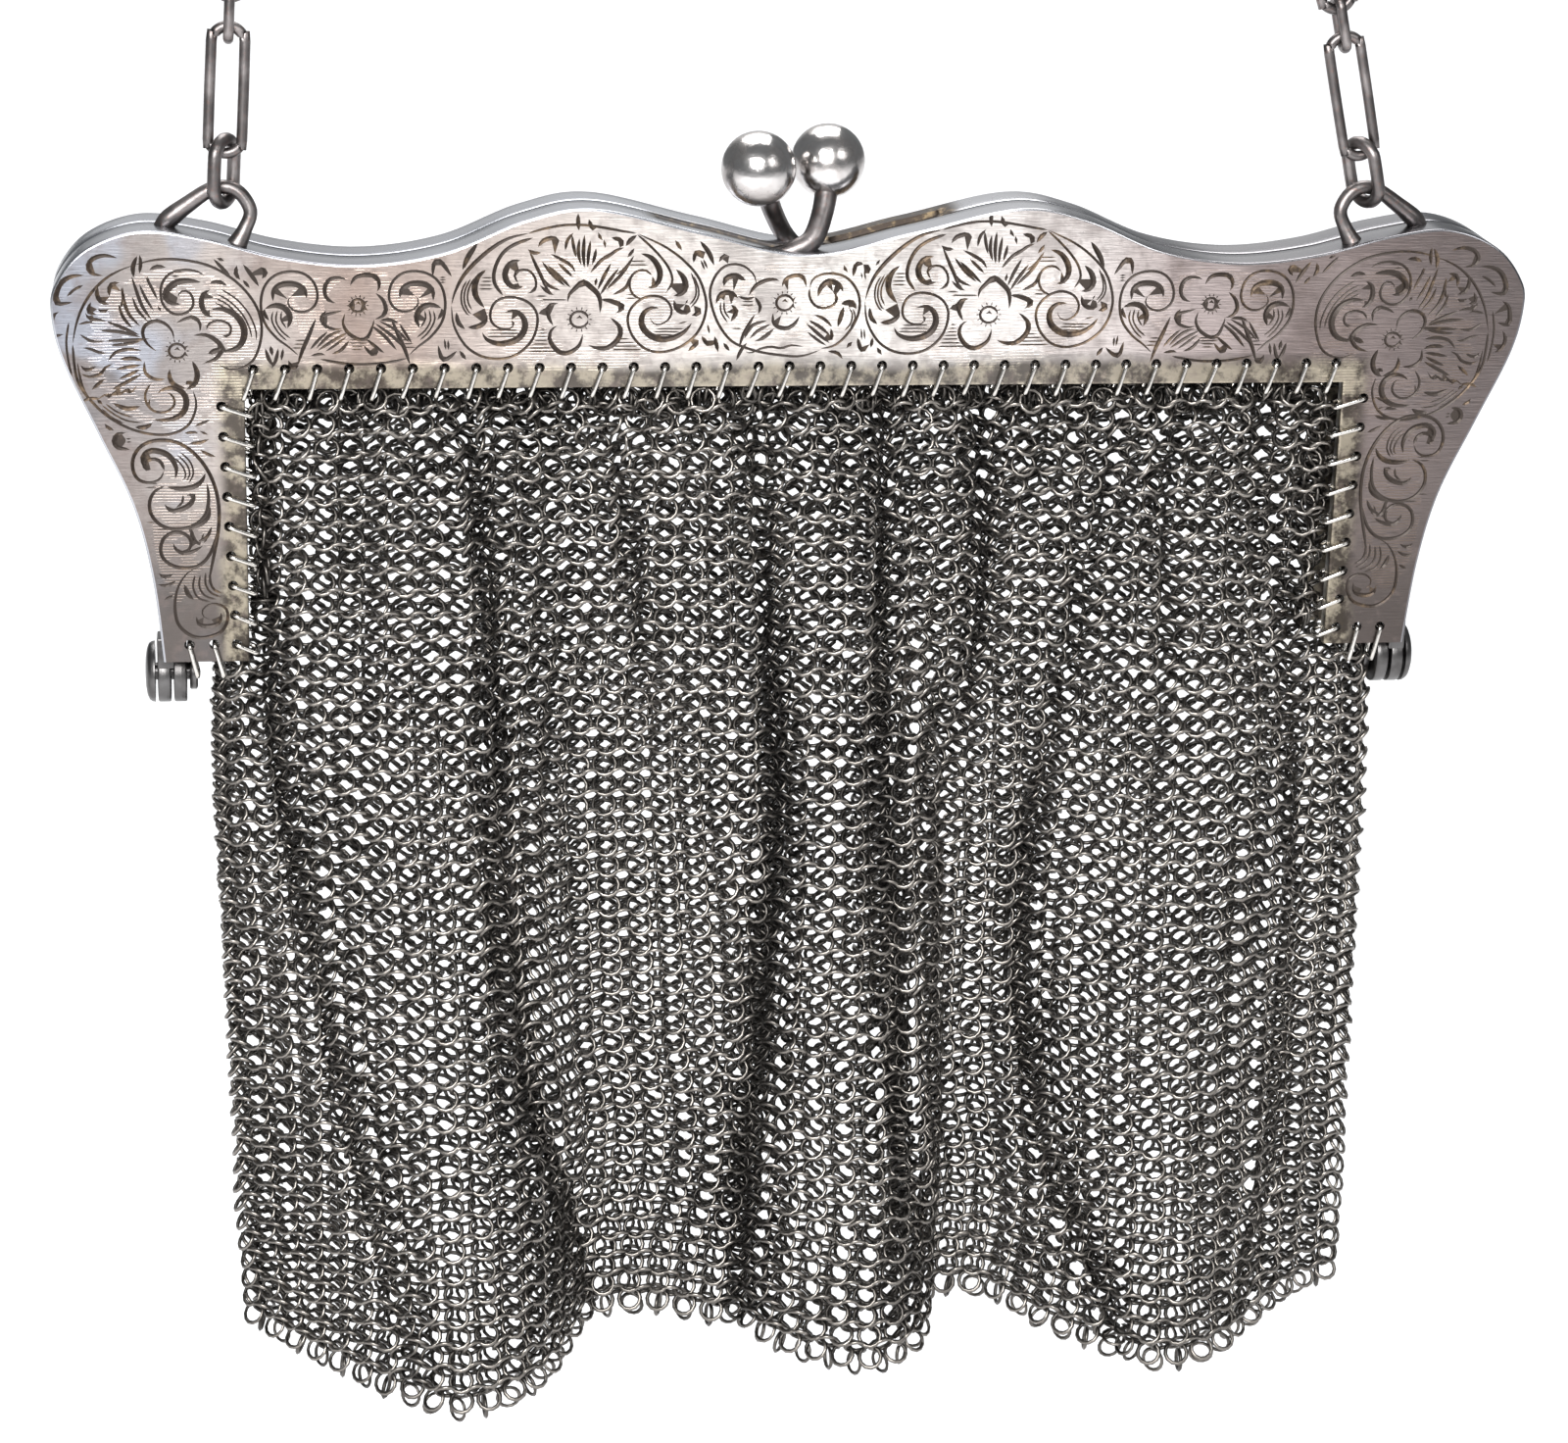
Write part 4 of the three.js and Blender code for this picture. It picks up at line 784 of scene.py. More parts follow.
class Shader:
    """A material's node tree, with one method that adds any node."""

    def __init__(self, name):
        self.material = bpy.data.materials.new(name)
        self.material.use_nodes = True
        self.tree = self.material.node_tree
        self.tree.nodes.clear()

    def node(self, kind, inputs=(), output=0, stops=(), **choices):
        made = self.tree.nodes.new(kind)
        for name, choice in choices.items():
            setattr(made, name, choice)
        for i, (place, colour) in enumerate(stops):
            ramp = made.color_ramp.elements
            stop = ramp[i] if i < len(ramp) else ramp.new(place)
            stop.position = place
            stop.color = (*colour, 1)
        pairs = inputs.items() if isinstance(inputs, dict) else enumerate(inputs)
        for key, value in pairs:
            socket = made.inputs[key]
            if isinstance(value, Value):
                self.tree.links.new(value.socket, socket)
            elif socket.type == "RGBA" and len(value) == 3:
                socket.default_value = (*value, 1)
            else:
                socket.default_value = value
        return Value(self, made.outputs[output]) if made.outputs else None

    def maths(self, operation, *values):
        return self.node("ShaderNodeMath", values, operation=operation)

    def place(self):
        return self.node("ShaderNodeTexCoord", output="Object")

    def part(self, vector, axis):
        return self.node("ShaderNodeSeparateXYZ", (vector,), output=axis)

    def noise(self, vector, scale, detail=2.0, roughness=0.5):
        return self.node(
            "ShaderNodeTexNoise",
            {"Vector": vector, "Scale": scale, "Detail": detail, "Roughness": roughness},
        )

    def stretched(self, vector, scale):
        return self.node("ShaderNodeMapping", {"Vector": vector, "Scale": scale})

    def step(self, value, low, high, start=0.0, end=1.0):
        return self.node(
            "ShaderNodeMapRange", (value, low, high, start, end), interpolation_type="SMOOTHSTEP",
        )

    def mix(self, factor, first, second):
        return self.node(
            "ShaderNodeMix", {0: factor, 6: first, 7: second}, output=2, data_type="RGBA",
        )

    def bump(self, height, strength, distance):
        return self.node(
            "ShaderNodeBump", {"Height": height, "Strength": strength, "Distance": distance},
        )

    def finish(self, colour, metallic, roughness, normal=None, **constants):
        inputs = {"Base Color": colour, "Metallic": metallic, "Roughness": roughness}
        if normal is not None:
            inputs["Normal"] = normal
        inputs.update({name.replace("_", " ").title(): v for name, v in constants.items()})
        body = self.node("ShaderNodeBsdfPrincipled", inputs)
        self.node("ShaderNodeOutputMaterial", {"Surface": body})
        return self.material


def local(shader, place, axis, index):
    """A coordinate in millimetres from the middle of the mouth line."""
    return (shader.part(place, axis) - HOME[index]) * (1 / MM)


def along_frame(shader, x, tones):
    """A colour that changes from the left end of the frame to the right one."""
    return shader.node("ShaderNodeValToRGB", ((x + 75) * (1 / 150),), stops=[
        ((spot + 75) / 150, tone) for spot, tone in tones
    ])


def hatching(shader, place, x, z, cloud):
    """Fine hand-cut lines behind the scrolls of each motif, with none on its flower."""
    cover = None
    for about, across, rise, half_width, half_height, flower in HATCHED:
        right = shader.maths("ABSOLUTE", x - about) - across
        up = z - rise
        oval = right * right * half_width ** -2 + up * up * half_height ** -2
        bloom = right * right + up * up
        clear = shader.step(bloom, flower ** 2, (flower + 0.5) ** 2)
        here = (1 - shader.step(oval, 0.78, 0.92)) * clear
        cover = here if cover is None else shader.maths("MAXIMUM", cover, here)
    wave = shader.maths("SINE", (z + cloud * 0.5) * (2 * math.pi / HATCH_PITCH))
    cut = shader.noise(shader.stretched(place, (420, 420, 900)), 1, 1, 0.5)
    return shader.step(wave, 0.1, 0.8) * cover * shader.step(cut, 0.4, 0.5)


def plate_silver():
    look = settings().finish
    shader = Shader("engraved silver")
    place = shader.place()
    x, z = local(shader, place, "X", 0), local(shader, place, "Z", 2)
    tarnish, grime = tuple(look.tarnish), (0.05, 0.042, 0.034)
    cloud = shader.noise(place, 75, 3, 0.6)
    speck = shader.noise(place, 900, 3, 0.6)
    # Painted highlight in the middle of the frame, painted shade with tarnish at its ends.
    silver = along_frame(shader, x + (cloud - 0.5) * 26, SILVER_SHEEN_AND_TARNISH)
    left = 1 - shader.step(x, -66, -50)
    blue = shader.step(shader.noise(place, 130, 2, 0.5), 0.48, 0.62) * left * 0.55
    silver = shader.mix(blue, silver, (0.4, 0.43, 0.5))
    patch = shader.step(shader.noise(place, 150, 4, 0.65), 0.47, 0.66)
    silver = shader.mix(patch * 0.45, silver, tarnish)
    # Painted shade: the plate darkens towards the foot of each leg.
    foot = 1 - shader.step(z + (cloud - 0.5) * 10, -28, 0, 0.12, 1.0)
    silver = shader.mix(foot, silver, (0.07, 0.06, 0.055))
    hatch = hatching(shader, place, x, z, cloud)
    silver = shader.mix(hatch * 0.62, silver, (0.11, 0.08, 0.06))
    across = shader.maths("ABSOLUTE", x)
    under = 1 - shader.step(z + (cloud - 0.5) * 2.4, 1.5, 3.3)
    inside = 1 - shader.step(across + (cloud - 0.5) * 2.4, 57.6, 59.2)
    yellow = under * inside
    mottle = shader.noise(place, 430, 4, 0.7)
    lip = shader.mix(shader.step(mottle, 0.4, 0.6), grime, tuple(look.lip))
    silver = shader.mix(yellow * 0.92, silver, lip)
    colour = shader.mix(shader.step(speck, 0.5, 0.75) * 0.4, silver, tarnish)
    scratches = shader.noise(shader.stretched(place, (400, 400, 5200)), 1, 2, 0.6)
    dents = shader.noise(place, 190, 2, 0.5)
    height = scratches * 0.25 + dents * (1.2 + yellow * 3) + speck * (0.12 + yellow * 0.3)
    normal = shader.bump(height - hatch * 0.35, 0.35, 0.00025)
    roughness = 0.24 + foot * 0.1 + yellow * 0.1 + speck * 0.12
    return shader.finish(colour, 1.0, roughness, normal)


def groove_oxide():
    look = settings().finish
    shader = Shader("engraving oxide")
    place = shader.place()
    speck = shader.noise(place, 1500, 2, 0.6)
    cloud = shader.noise(place, 160, 2, 0.5)
    dark = tuple(look.groove)
    colour = shader.mix(shader.step(cloud * 0.6 + speck * 0.4, 0.5, 0.78), dark, (0.2, 0.14, 0.09))
    return shader.finish(colour, shader.step(cloud, 0.4, 0.6, 0.5, 0.8), 0.36 + speck * 0.2)


def rim_silver():
    look = settings().finish
    shader = Shader("rim silver")
    place = shader.place()
    x, y = local(shader, place, "X", 0), local(shader, place, "Y", 1)
    cloud = shader.noise(place, 110, 3, 0.5)
    speck = shader.noise(place, 1100, 3, 0.6)
    drawn = shader.noise(shader.stretched(place, (160, 3600, 160)), 1, 2, 0.55)
    front = shader.step(x, -17, -14.5) * (1 - shader.step(x, -2, 0)) * shader.step(y, 0.9, 2)
    front = front * (1 - shader.step(y, 4.5, 5.2))
    back = shader.step(x, -3, 1) * (1 - shader.step(x, 15, 17)) * shader.step(y, 3.6, 4.6)
    thumb = shader.maths("MAXIMUM", front, back)
    dull = shader.maths("MINIMUM", shader.step(cloud, 0.45, 0.75) * 0.5 + thumb, 1.0)
    grime = shader.mix(shader.step(speck, 0.48, 0.75), (0.045, 0.036, 0.03), (0.2, 0.15, 0.09))
    # Painted reflection and shade along the rim.
    silver = along_frame(shader, x + (cloud - 0.5) * 14, RIM_SHADE_AND_SHEEN)
    colour = shader.mix(dull * 0.45, silver, tuple(look.rim))
    colour = shader.mix(thumb, colour, grime)
    normal = shader.bump(drawn * 0.3 + speck * 0.1, 0.12, 0.0002)
    return shader.finish(colour, 1.0, 0.24 + dull * 0.16, normal)


def wire_metal(name, dark, light, scale, roughness):
    shader = Shader(name)
    place = shader.place()
    tone = shader.node("ShaderNodeAttribute", output="Fac", attribute_name="tone")
    cloud = shader.noise(place, scale, 2, 0.5)
    speck = shader.noise(place, 2400, 2, 0.6)
    # For the mesh rings the tone attribute holds their own tone and wear together with painted
    # shade and a painted highlight on their outer arcs.
    rubbed_and_lit = tone * 0.8 + shader.step(cloud, 0.35, 0.7) * 0.2 + speck * 0.15
    worn = shader.maths("MINIMUM", rubbed_and_lit, 1.0)
    colour = shader.mix(worn, dark, light)
    normal = shader.bump(speck, 0.25, 0.00008)
    return shader.finish(colour, 1.0, roughness + (1 - worn) * 0.12, normal)


def chain_steel():
    look = settings().finish
    shader = Shader("chain steel")
    place = shader.place()
    cloud = shader.noise(place, 240, 3, 0.6)
    speck = shader.noise(place, 2000, 2, 0.6)
    base = tuple(look.chain)
    worn = tuple(min(1, c * 2.1) for c in base)
    warm = (base[0] * 1.7, base[1] * 1.15, base[2] * 1.0)
    colour = shader.mix(shader.step(cloud, 0.4, 0.68), base, worn)
    colour = shader.mix(shader.step(speck, 0.5, 0.75) * 0.5, colour, warm)
    normal = shader.bump(speck * 0.6 + cloud, 0.3, 0.00012)
    return shader.finish(colour, 1.0, 0.3 + cloud * 0.2, normal)


def ball_silver():
    shader = Shader("ball silver")
    place = shader.place()
    cloud = shader.noise(place, 330, 3, 0.55)
    speck = shader.noise(place, 2600, 3, 0.6)
    colour = shader.mix(shader.step(cloud, 0.35, 0.7) * 0.7, (0.6, 0.58, 0.57), (0.33, 0.3, 0.285))
    normal = shader.bump(cloud * 1.5 + speck * 0.25, 0.25, 0.00025)
    return shader.finish(colour, 1.0, 0.17 + shader.step(cloud, 0.4, 0.7) * 0.14, normal)


def hinge_silver():
    shader = Shader("hinge silver")
    place = shader.place()
    cloud = shader.noise(place, 260, 3, 0.55)
    speck = shader.noise(place, 2200, 3, 0.6)
    turned = shader.noise(shader.stretched(place, (5200, 300, 300)), 1, 2, 0.5)
    colour = shader.mix(shader.step(cloud, 0.35, 0.7), (0.12, 0.116, 0.115), (0.045, 0.042, 0.041))
    normal = shader.bump(turned * 0.4 + speck * 0.2, 0.3, 0.0002)
    return shader.finish(colour, 1.0, 0.26 + cloud * 0.18, normal)


# ---- Shared modelling ----


def to_piece(name, bm, materials, replaced, sharp=math.radians(50)):
    """Moves a finished bmesh from millimetres around the frame to its place and dresses it."""
    bmesh.ops.transform(bm, matrix=Matrix.Translation(HOME) @ Matrix.Scale(MM, 4), verts=bm.verts)
    for edge in bm.edges:
        if len(edge.link_faces) == 2 and edge.calc_face_angle() > sharp:
            edge.smooth = False
    data = bpy.data.meshes.new(name)
    bm.to_mesh(data)
    bm.free()
    return dress(name, data, materials, replaced)


def dress(name, data, materials, replaced):
    piece = bpy.data.objects.new(name, data)
    bpy.context.scene.collection.objects.link(piece)
    for material in materials:
        data.materials.append(material)
    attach(piece, BODY)
    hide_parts(*replaced)
    return piece


def smooth_path(points, steps):
    """A smooth line through points, with even shares between them, as the frame's edge has."""
    points = [np.array(p, float) for p in points]
    last = len(points) - 1
    line = []
    for i in range(last):
        before, start = points[max(i - 1, 0)], points[i]
        end, after = points[i + 1], points[min(i + 2, last)]
        leave, arrive = (end - before) / 2, (after - start) / 2
        for k in range(steps):
            t = k / steps
            cubic = (2 * start - 2 * end + leave + arrive) * t ** 3
            square = (-3 * start + 3 * end - 2 * leave - arrive) * t ** 2
            line.append(cubic + square + leave * t + start)
    line.append(points[-1])
    return np.array(line)


def evenly(line, pitch, least=3):
    """The same line with points at even distances."""
    lengths = np.concatenate([[0], np.cumsum(np.linalg.norm(np.diff(line, axis=0), axis=1))])
    count = max(least, int(round(lengths[-1] / pitch)) + 1)
    at = np.linspace(0, lengths[-1], count)
    return np.stack([np.interp(at, lengths, line[:, k]) for k in range(line.shape[1])], 1)


def tube(points, radii, sides):
    """A round bar through points, whose radius follows the given ones, as a closed bmesh."""
    route = smooth_path([(*p, r) for p, r in zip(points, radii)], 6)
    bm = bmesh.new()
    ring = bmesh.ops.create_circle(bm, segments=sides, radius=1, cap_ends=True)["verts"]
    face = bm.faces[:][0]
    settle(ring, route, 0, sides)
    for i in range(1, len(route)):
        made = bmesh.ops.extrude_face_region(bm, geom=[face])["geom"]
        if i > 1:
            bmesh.ops.delete(bm, geom=[face], context="FACES_ONLY")
        face = next(g for g in made if isinstance(g, bmesh.types.BMFace))
        settle(face.verts, route, i, sides)
    bmesh.ops.recalc_face_normals(bm, faces=bm.faces)
    for part in bm.faces:
        part.smooth = len(part.verts) == 4
    return bm


def settle(ring, route, i, sides):
    """Places one ring of vertices round a point of a route, square to it."""
    ahead, behind = route[min(i + 1, len(route) - 1)], route[max(i - 1, 0)]
    along = Vector((ahead - behind)[:3]).normalized()
    side = Vector((0, 1, 0)) - along * along.y
    side.normalize()
    other = along.cross(side)
    centre, radius = Vector(route[i][:3]), route[i][3]
    for k, vert in enumerate(ring):
        angle = 2 * math.pi * k / sides
        vert.co = centre + (side * math.cos(angle) + other * math.sin(angle)) * radius


def disc(low, high, radius, round_off, axis_y, axis_z, sides=44, profile=None):
    """A turned disc about an axis along X, as a closed bmesh."""
    edge = profile or (
        (low, 0), (low, radius - round_off), (low + round_off * 0.3, radius - round_off * 0.3),
        (low + round_off, radius), (high - round_off, radius),
        (high - round_off * 0.3, radius - round_off * 0.3), (high, radius - round_off), (high, 0),
    )
    bm = bmesh.new()
    verts = [bm.verts.new((x, axis_y, axis_z + r)) for x, r in edge]
    edges = [bm.edges.new(pair) for pair in zip(verts, verts[1:])]
    bmesh.ops.spin(
        bm, geom=verts + edges, cent=(0, axis_y, axis_z), axis=(1, 0, 0), angle=2 * math.pi,
        steps=sides, use_merge=True, use_duplicate=False,
    )
    bmesh.ops.remove_doubles(bm, verts=bm.verts, dist=1e-4)
    bmesh.ops.recalc_face_normals(bm, faces=bm.faces)
    for face in bm.faces:
        face.smooth = True
    return bm


def block(low, high, round_off):
    bm = bmesh.new()
    bmesh.ops.create_cube(bm, size=1)
    size = Vector(high) - Vector(low)
    bmesh.ops.scale(bm, vec=size, verts=bm.verts)
    bmesh.ops.translate(bm, vec=(Vector(high) + Vector(low)) / 2, verts=bm.verts)
    bmesh.ops.bevel(
        bm, geom=bm.edges[:], offset=round_off, affect="EDGES", segments=2, profile=0.5,
        material=-1,
    )
    return bm


def joined(parts):
    """One bmesh out of several."""
    whole = bmesh.new()
    for part in parts:
        data = bpy.data.meshes.new("part")
        part.to_mesh(data)
        part.free()
        whole.from_mesh(data)
        bpy.data.meshes.remove(data)
    return whole


def mirrored(bm, axis, about):
    """Turns a bmesh over about a plane, with its faces still outwards."""
    size = Vector((1, 1, 1))
    size[axis] = -1
    shift = Vector((0, 0, 0))
    shift[axis] = 2 * about
    bmesh.ops.scale(bm, vec=size, verts=bm.verts)
    bmesh.ops.translate(bm, vec=shift, verts=bm.verts)
    bmesh.ops.reverse_faces(bm, faces=bm.faces)
    return bm


# ---- Frame halves ----


def half_edge():
    """Half of the frame's outside edge, from the middle of the top to the foot of a leg."""
    s = settings().frame
    crest, flare, leg = mm(s.crest), mm(s.flare), mm(s.leg_length)
    foot = mm(s.opening) / 2 + mm(s.leg_width)
    widest = TOP_EDGE[-1][1] * crest
    top = [(across * (foot + flare), rise * crest) for across, rise in TOP_EDGE]
    side = [(foot + out * flare, widest - down * (widest + leg)) for out, down in LEG_EDGE]
    before = (-top[1][0], top[1][1])
    return evenly(smooth_path([before, *top, *side], 16)[16:], 0.55)


def outer_edge(inset):
    """The outside edge from the left foot over the top to the right foot, moved inwards."""
    right = half_edge()
    left = right[:0:-1] * (-1, 1)
    edge = np.concatenate([left, right])
    ahead = np.concatenate([edge[1:], edge[-1:]])
    behind = np.concatenate([edge[:1], edge[:-1]])
    along = ahead - behind
    along /= np.linalg.norm(along, axis=1)[:, None]
    moved = edge + np.stack([along[:, 1], -along[:, 0]], 1) * inset
    moved[[0, -1], 1] = edge[[0, -1], 1]
    return moved


def mouth_edge(inset):
    """The mouth's edge from the right foot to the left foot, moved into the plate."""
    s = settings().frame
    half, foot = mm(s.opening) / 2 + inset, -mm(s.leg_length)
    return np.array([(half, foot), (half, inset), (-half, inset), (-half, foot)])


# The rim and the lip in section, round from their front edges: how far in from the plate's
# edge, how deep, and whether the thumb notch lowers that corner. They close on the plate.
RIM_PROFILE = (
    (0.22, 0, 0), (0.08, 0.03, 0), (0.02, 0.09, 0), (0, 0.2, 0), (0, 2.05, 0), (0, 2.35, 1),
    (0, 4.0, 1), (0.08, 4.24, 1), (0.32, 4.35, 1), (1.02, 4.35, 1), (1.1, 4.2, 0), (1.1, 0.9, 0),
    (0.22, 0.9, 0),
)
LIP_PROFILE = (
    (0.26, 0, 0), (0.08, 0.04, 0), (0.02, 0.12, 0), (0, 0.26, 0), (0, 1.45, 0), (0.08, 1.56, 0),
    (0.2, 1.6, 0), (0.5, 1.6, 0), (0.6, 1.5, 0), (0.6, 0.9, 0), (0.26, 0.9, 0),
)
# Where a thumb notch starts and ends from the middle, and how long it takes to go down.
NOTCH_FROM, NOTCH_TO, NOTCH_EASE = 2, 15.5, 1.2


def band(edge_at, profile, notch_side=0):
    """A wall with a closed profile that follows an edge. The profile gives how far in and how
    deep each of its corners lies, and whether a thumb notch lowers it."""
    notch = mm(settings().frame.notch)
    bm = bmesh.new()
    loops = []
    for inset, depth, notched in profile:
        line = edge_at(inset)
        if not loops:
            verts = [bm.verts.new((x, depth, z)) for x, z in line]
            loops.append([bm.edges.new(pair) for pair in zip(verts, verts[1:])])
            continue
        made = bmesh.ops.extrude_edge_only(bm, edges=loops[-1])["geom"]
        loops.append([g for g in made if isinstance(g, bmesh.types.BMEdge)])
        new = [g for g in made if isinstance(g, bmesh.types.BMVert)]
        new = chain_order(new, set(loops[-1]))
        if (new[0].co.x < new[-1].co.x) != (line[0][0] < line[-1][0]):
            new.reverse()
        for vert, (x, z) in zip(new, line):
            at = x * notch_side
            into = min(at - NOTCH_FROM, NOTCH_TO - at) / NOTCH_EASE
            share = min(max(into, 0), 1) ** 2 if notch_side and notched else 0
            vert.co = (x, depth, z - notch * share)
    bmesh.ops.bridge_loops(bm, edges=loops[0] + loops[-1])
    ends = [e for e in bm.edges if e.is_boundary]
    bmesh.ops.holes_fill(bm, edges=ends)
    bmesh.ops.recalc_face_normals(bm, faces=bm.faces)
    for face in bm.faces:
        face.smooth = len(face.verts) == 4
    return bm


def chain_order(verts, edges):
    """The vertices of an open row in order along it."""
    linked = {v: [e.other_vert(v) for e in v.link_edges if e in edges] for v in verts}
    here = next(v for v in verts if len(linked[v]) == 1)
    order, seen = [here], {here}
    while len(order) < len(verts):
        here = next(v for v in linked[here] if v not in seen)
        order.append(here)
        seen.add(here)
    return order


def stitch_spots():
    """Where the sewing rings pass through a plate, and the way each one runs to the mesh."""
    s, sewing = settings().frame, settings().sewing
    pitch, half = mm(sewing.pitch), mm(s.opening) / 2
    leg, foot_x = mm(s.leg_length), half + mm(s.leg_width)
    spots = []
    count = int((2 * half - pitch / 2) // pitch) + 1
    for i in range(count):
        spots.append(((i - (count - 1) / 2) * pitch, 2.1, (-0.95, -3.15)))
    steps = int(leg // pitch)
    for side in (-1, 1):
        for i in range(steps + 1):
            share = i / steps
            setback, height = lerp(2.3, 1.25, share), lerp(-1.65, 1.8 - leg, share)
            spots.append((side * (half + setback), height, (-side * (setback + 0.85), -1.0)))
        for i in range(2):
            x = side * (foot_x - 2.6 - i * 2.5)
            spots.append((x, 1.8 - leg, (-side * 0.8, -3.5)))
    return spots


def strokes():
    """Every engraved stroke: its points and the half width at each."""
    cuts, weight = [], settings().frame.groove_weight
    for table, mirror, right, up in MOTIFS:
        for width, text in table:
            points = np.array([[float(v) for v in pair.split(",")] for pair in text.split()])
            if mirror is not None:
                points[:, 0] = 2 * mirror - points[:, 0]
            cuts.append((points + (right, up), width))
    for x, z, radius in FLOWERS:
        turn = np.linspace(0, 2 * math.pi, 17)
        ring = np.stack([x + radius * np.cos(turn), z + radius * 0.92 * np.sin(turn)], 1)
        cuts.append((ring, SEED_RING_WIDTH))
        seed = np.array([(x - 0.3, z + 0.1), (x, z + 0.3), (x + 0.35, z + 0.05)])
        cuts.append((seed, SEED_WIDTH))
        for k in range(SEED_RAYS):
            angle = 2 * math.pi * k / SEED_RAYS
            way = np.array([math.cos(angle), math.sin(angle)])
            ray = np.array([(x, z) + way * (radius + r) for r in SEED_RAY_REACH])
            cuts.append((ray, SEED_RAY_WIDTH))
    shaped = []
    for points, width in cuts:
        line = evenly(smooth_path(points, 5), 0.4)
        share = np.abs(np.linspace(-1, 1, len(line)))
        thin = width < THIN_STROKE
        fullness = (1 - share ** (8 if thin else 2.1)) ** 0.7
        shaped.append((line, width / 2 * weight * fullness * (THIN_WEIGHT if thin else 1)))
    return shaped


class PlateSheet:
    """The face of a plate as a flat triangulation, with the grooves sunk into it."""

    def __init__(self, cuts):
        self.points = []
        self.edges = []
        rim = [tuple(p) for p in outer_edge(RIM_PROFILE[0][0])]
        mouth = [tuple(p) for p in mouth_edge(LIP_PROFILE[0][0])]
        self.outline = np.array(rim + mouth)
        self.loop(self.outline)
        radius = mm(settings().sewing.hole) / 2
        turn = np.arange(14) * (2 * math.pi / 14)
        self.holes = np.array([(x, z) for x, z, _ in stitch_spots()])
        self.hole_radius = radius
        for x, z in self.holes:
            self.loop(np.stack([x + radius * np.cos(turn), z + radius * np.sin(turn)], 1))
        for line, half in cuts:
            self.stroke(line, half)
        self.cuts = cuts

    def add(self, points):
        start = len(self.points)
        self.points.extend(Vector((float(x), float(z))) for x, z in points)
        return list(range(start, len(self.points)))

    def loop(self, points):
        ids = self.add(points)
        self.edges.extend(zip(ids, ids[1:] + ids[:1]))

    def stroke(self, line, half):
        along = np.gradient(line, axis=0)
        along /= np.maximum(np.linalg.norm(along, axis=1), 1e-9)[:, None]
        across = np.stack([-along[:, 1], along[:, 0]], 1) * half[:, None]
        middle = self.add(line)
        sides = [self.add((line + across)[1:-1]), self.add((line - across)[1:-1])]
        for chain in [middle] + [[middle[0], *side, middle[-1]] for side in sides]:
            self.edges.extend(zip(chain, chain[1:]))

    def depths(self, spots):
        """How deep the grooves are at some spots of the plate."""
        starts = np.concatenate([line[:-1] for line, _ in self.cuts])
        ends = np.concatenate([line[1:] for line, _ in self.cuts])
        first = np.concatenate([half[:-1] for _, half in self.cuts])
        last = np.concatenate([half[1:] for _, half in self.cuts])
        tree = KDTree(len(starts))
        for i, middle in enumerate((starts + ends) / 2):
            tree.insert((middle[0], middle[1], 0), i)
        tree.balance()
        slope = settings().frame.groove_slope
        found = np.zeros(len(spots))
        for k, spot in enumerate(spots):
            near = [i for _, i, _ in tree.find_range((spot[0], spot[1], 0), 0.75)]
            if not near:
                continue
            a, b = starts[near], ends[near]
            run = b - a
            share = ((spot - a) * run).sum(1) / np.maximum((run ** 2).sum(1), 1e-12)
            share = np.clip(share, 0, 1)
            away = np.linalg.norm(spot - a - run * share[:, None], axis=1)
            half = lerp(first[near], last[near], share)
            found[k] = max(0, (half - away).max()) * slope
        found[found < 0.004] = 0
        return found

    def inside(self, spots):
        """Which spots lie on the plate, clear of its holes."""
        within = np.zeros(len(spots), bool)
        x, z = spots[:, 0], spots[:, 1]
        for (x0, z0), (x1, z1) in zip(self.outline, np.roll(self.outline, -1, axis=0)):
            if z0 == z1:
                continue
            crosses = (z0 > z) != (z1 > z)
            within ^= crosses & (x < (x1 - x0) * (z - z0) / (z1 - z0) + x0)
        for hole in self.holes:
            within &= np.linalg.norm(spots - hole, axis=1) > self.hole_radius * 0.99
        return within

    def build(self):
        """The plate as a closed bmesh: its face, its edges and its plain back."""
        points, _, faces, *_ = delaunay_2d_cdt(self.points, self.edges, [], 0, 1e-3)
        spots = np.array([(p.x, p.y) for p in points])
        corners = np.array(faces)
        corners = corners[self.inside(spots[corners].mean(1))]
        depths = self.depths(spots) if self.cuts else np.zeros(len(spots))
        bm = bmesh.new()
        used = np.unique(corners)
        verts = {i: bm.verts.new((spots[i][0], depths[i], spots[i][1])) for i in used.tolist()}
        for a, b, c in corners.tolist():
            face = bm.faces.new((verts[a], verts[b], verts[c]))
            face.material_index = 1 if max(depths[a], depths[b], depths[c]) > 0 else 0
        bm.normal_update()
        turned = [f for f in bm.faces if f.normal.y > 0]
        bmesh.ops.reverse_faces(bm, faces=turned)
        rim = [e for e in bm.edges if e.is_boundary]
        made = bmesh.ops.extrude_edge_only(bm, edges=rim)["geom"]
        back = mm(settings().frame.plate)
        for vert in (g for g in made if isinstance(g, bmesh.types.BMVert)):
            vert.co.y = back
        walls = [g for g in made if isinstance(g, bmesh.types.BMEdge)]
        bmesh.ops.triangle_fill(bm, edges=walls, use_beauty=False, normal=(0, 1, 0))
        for face in bm.faces:
            face.smooth = False
            if abs(face.normal.y) < 0.1 and face.material_index == 1 and face.calc_area() > 0.3:
                face.material_index = 0
        return bm


def frame_half(cuts, side):
    """A half of the frame: engraved plate, rim and lip. The back half is turned over."""
    plate = PlateSheet(cuts).build()
    rim = band(outer_edge, RIM_PROFILE, side)
    lip = band(mouth_edge, LIP_PROFILE)
    for face in rim.faces:
        face.material_index = 2
    return joined([plate, rim, lip])


def hinge_places():
    s, clasp = settings().frame, settings().clasp
    foot = mm(s.opening) / 2 + mm(s.leg_width)
    thick, gap = mm(clasp.lug_thickness), mm(s.part_gap)
    outer = foot + 0.7
    inner = outer - thick - gap
    height = -mm(s.leg_length) - mm(clasp.hinge_drop)
    return foot, outer, inner, thick, gap, height


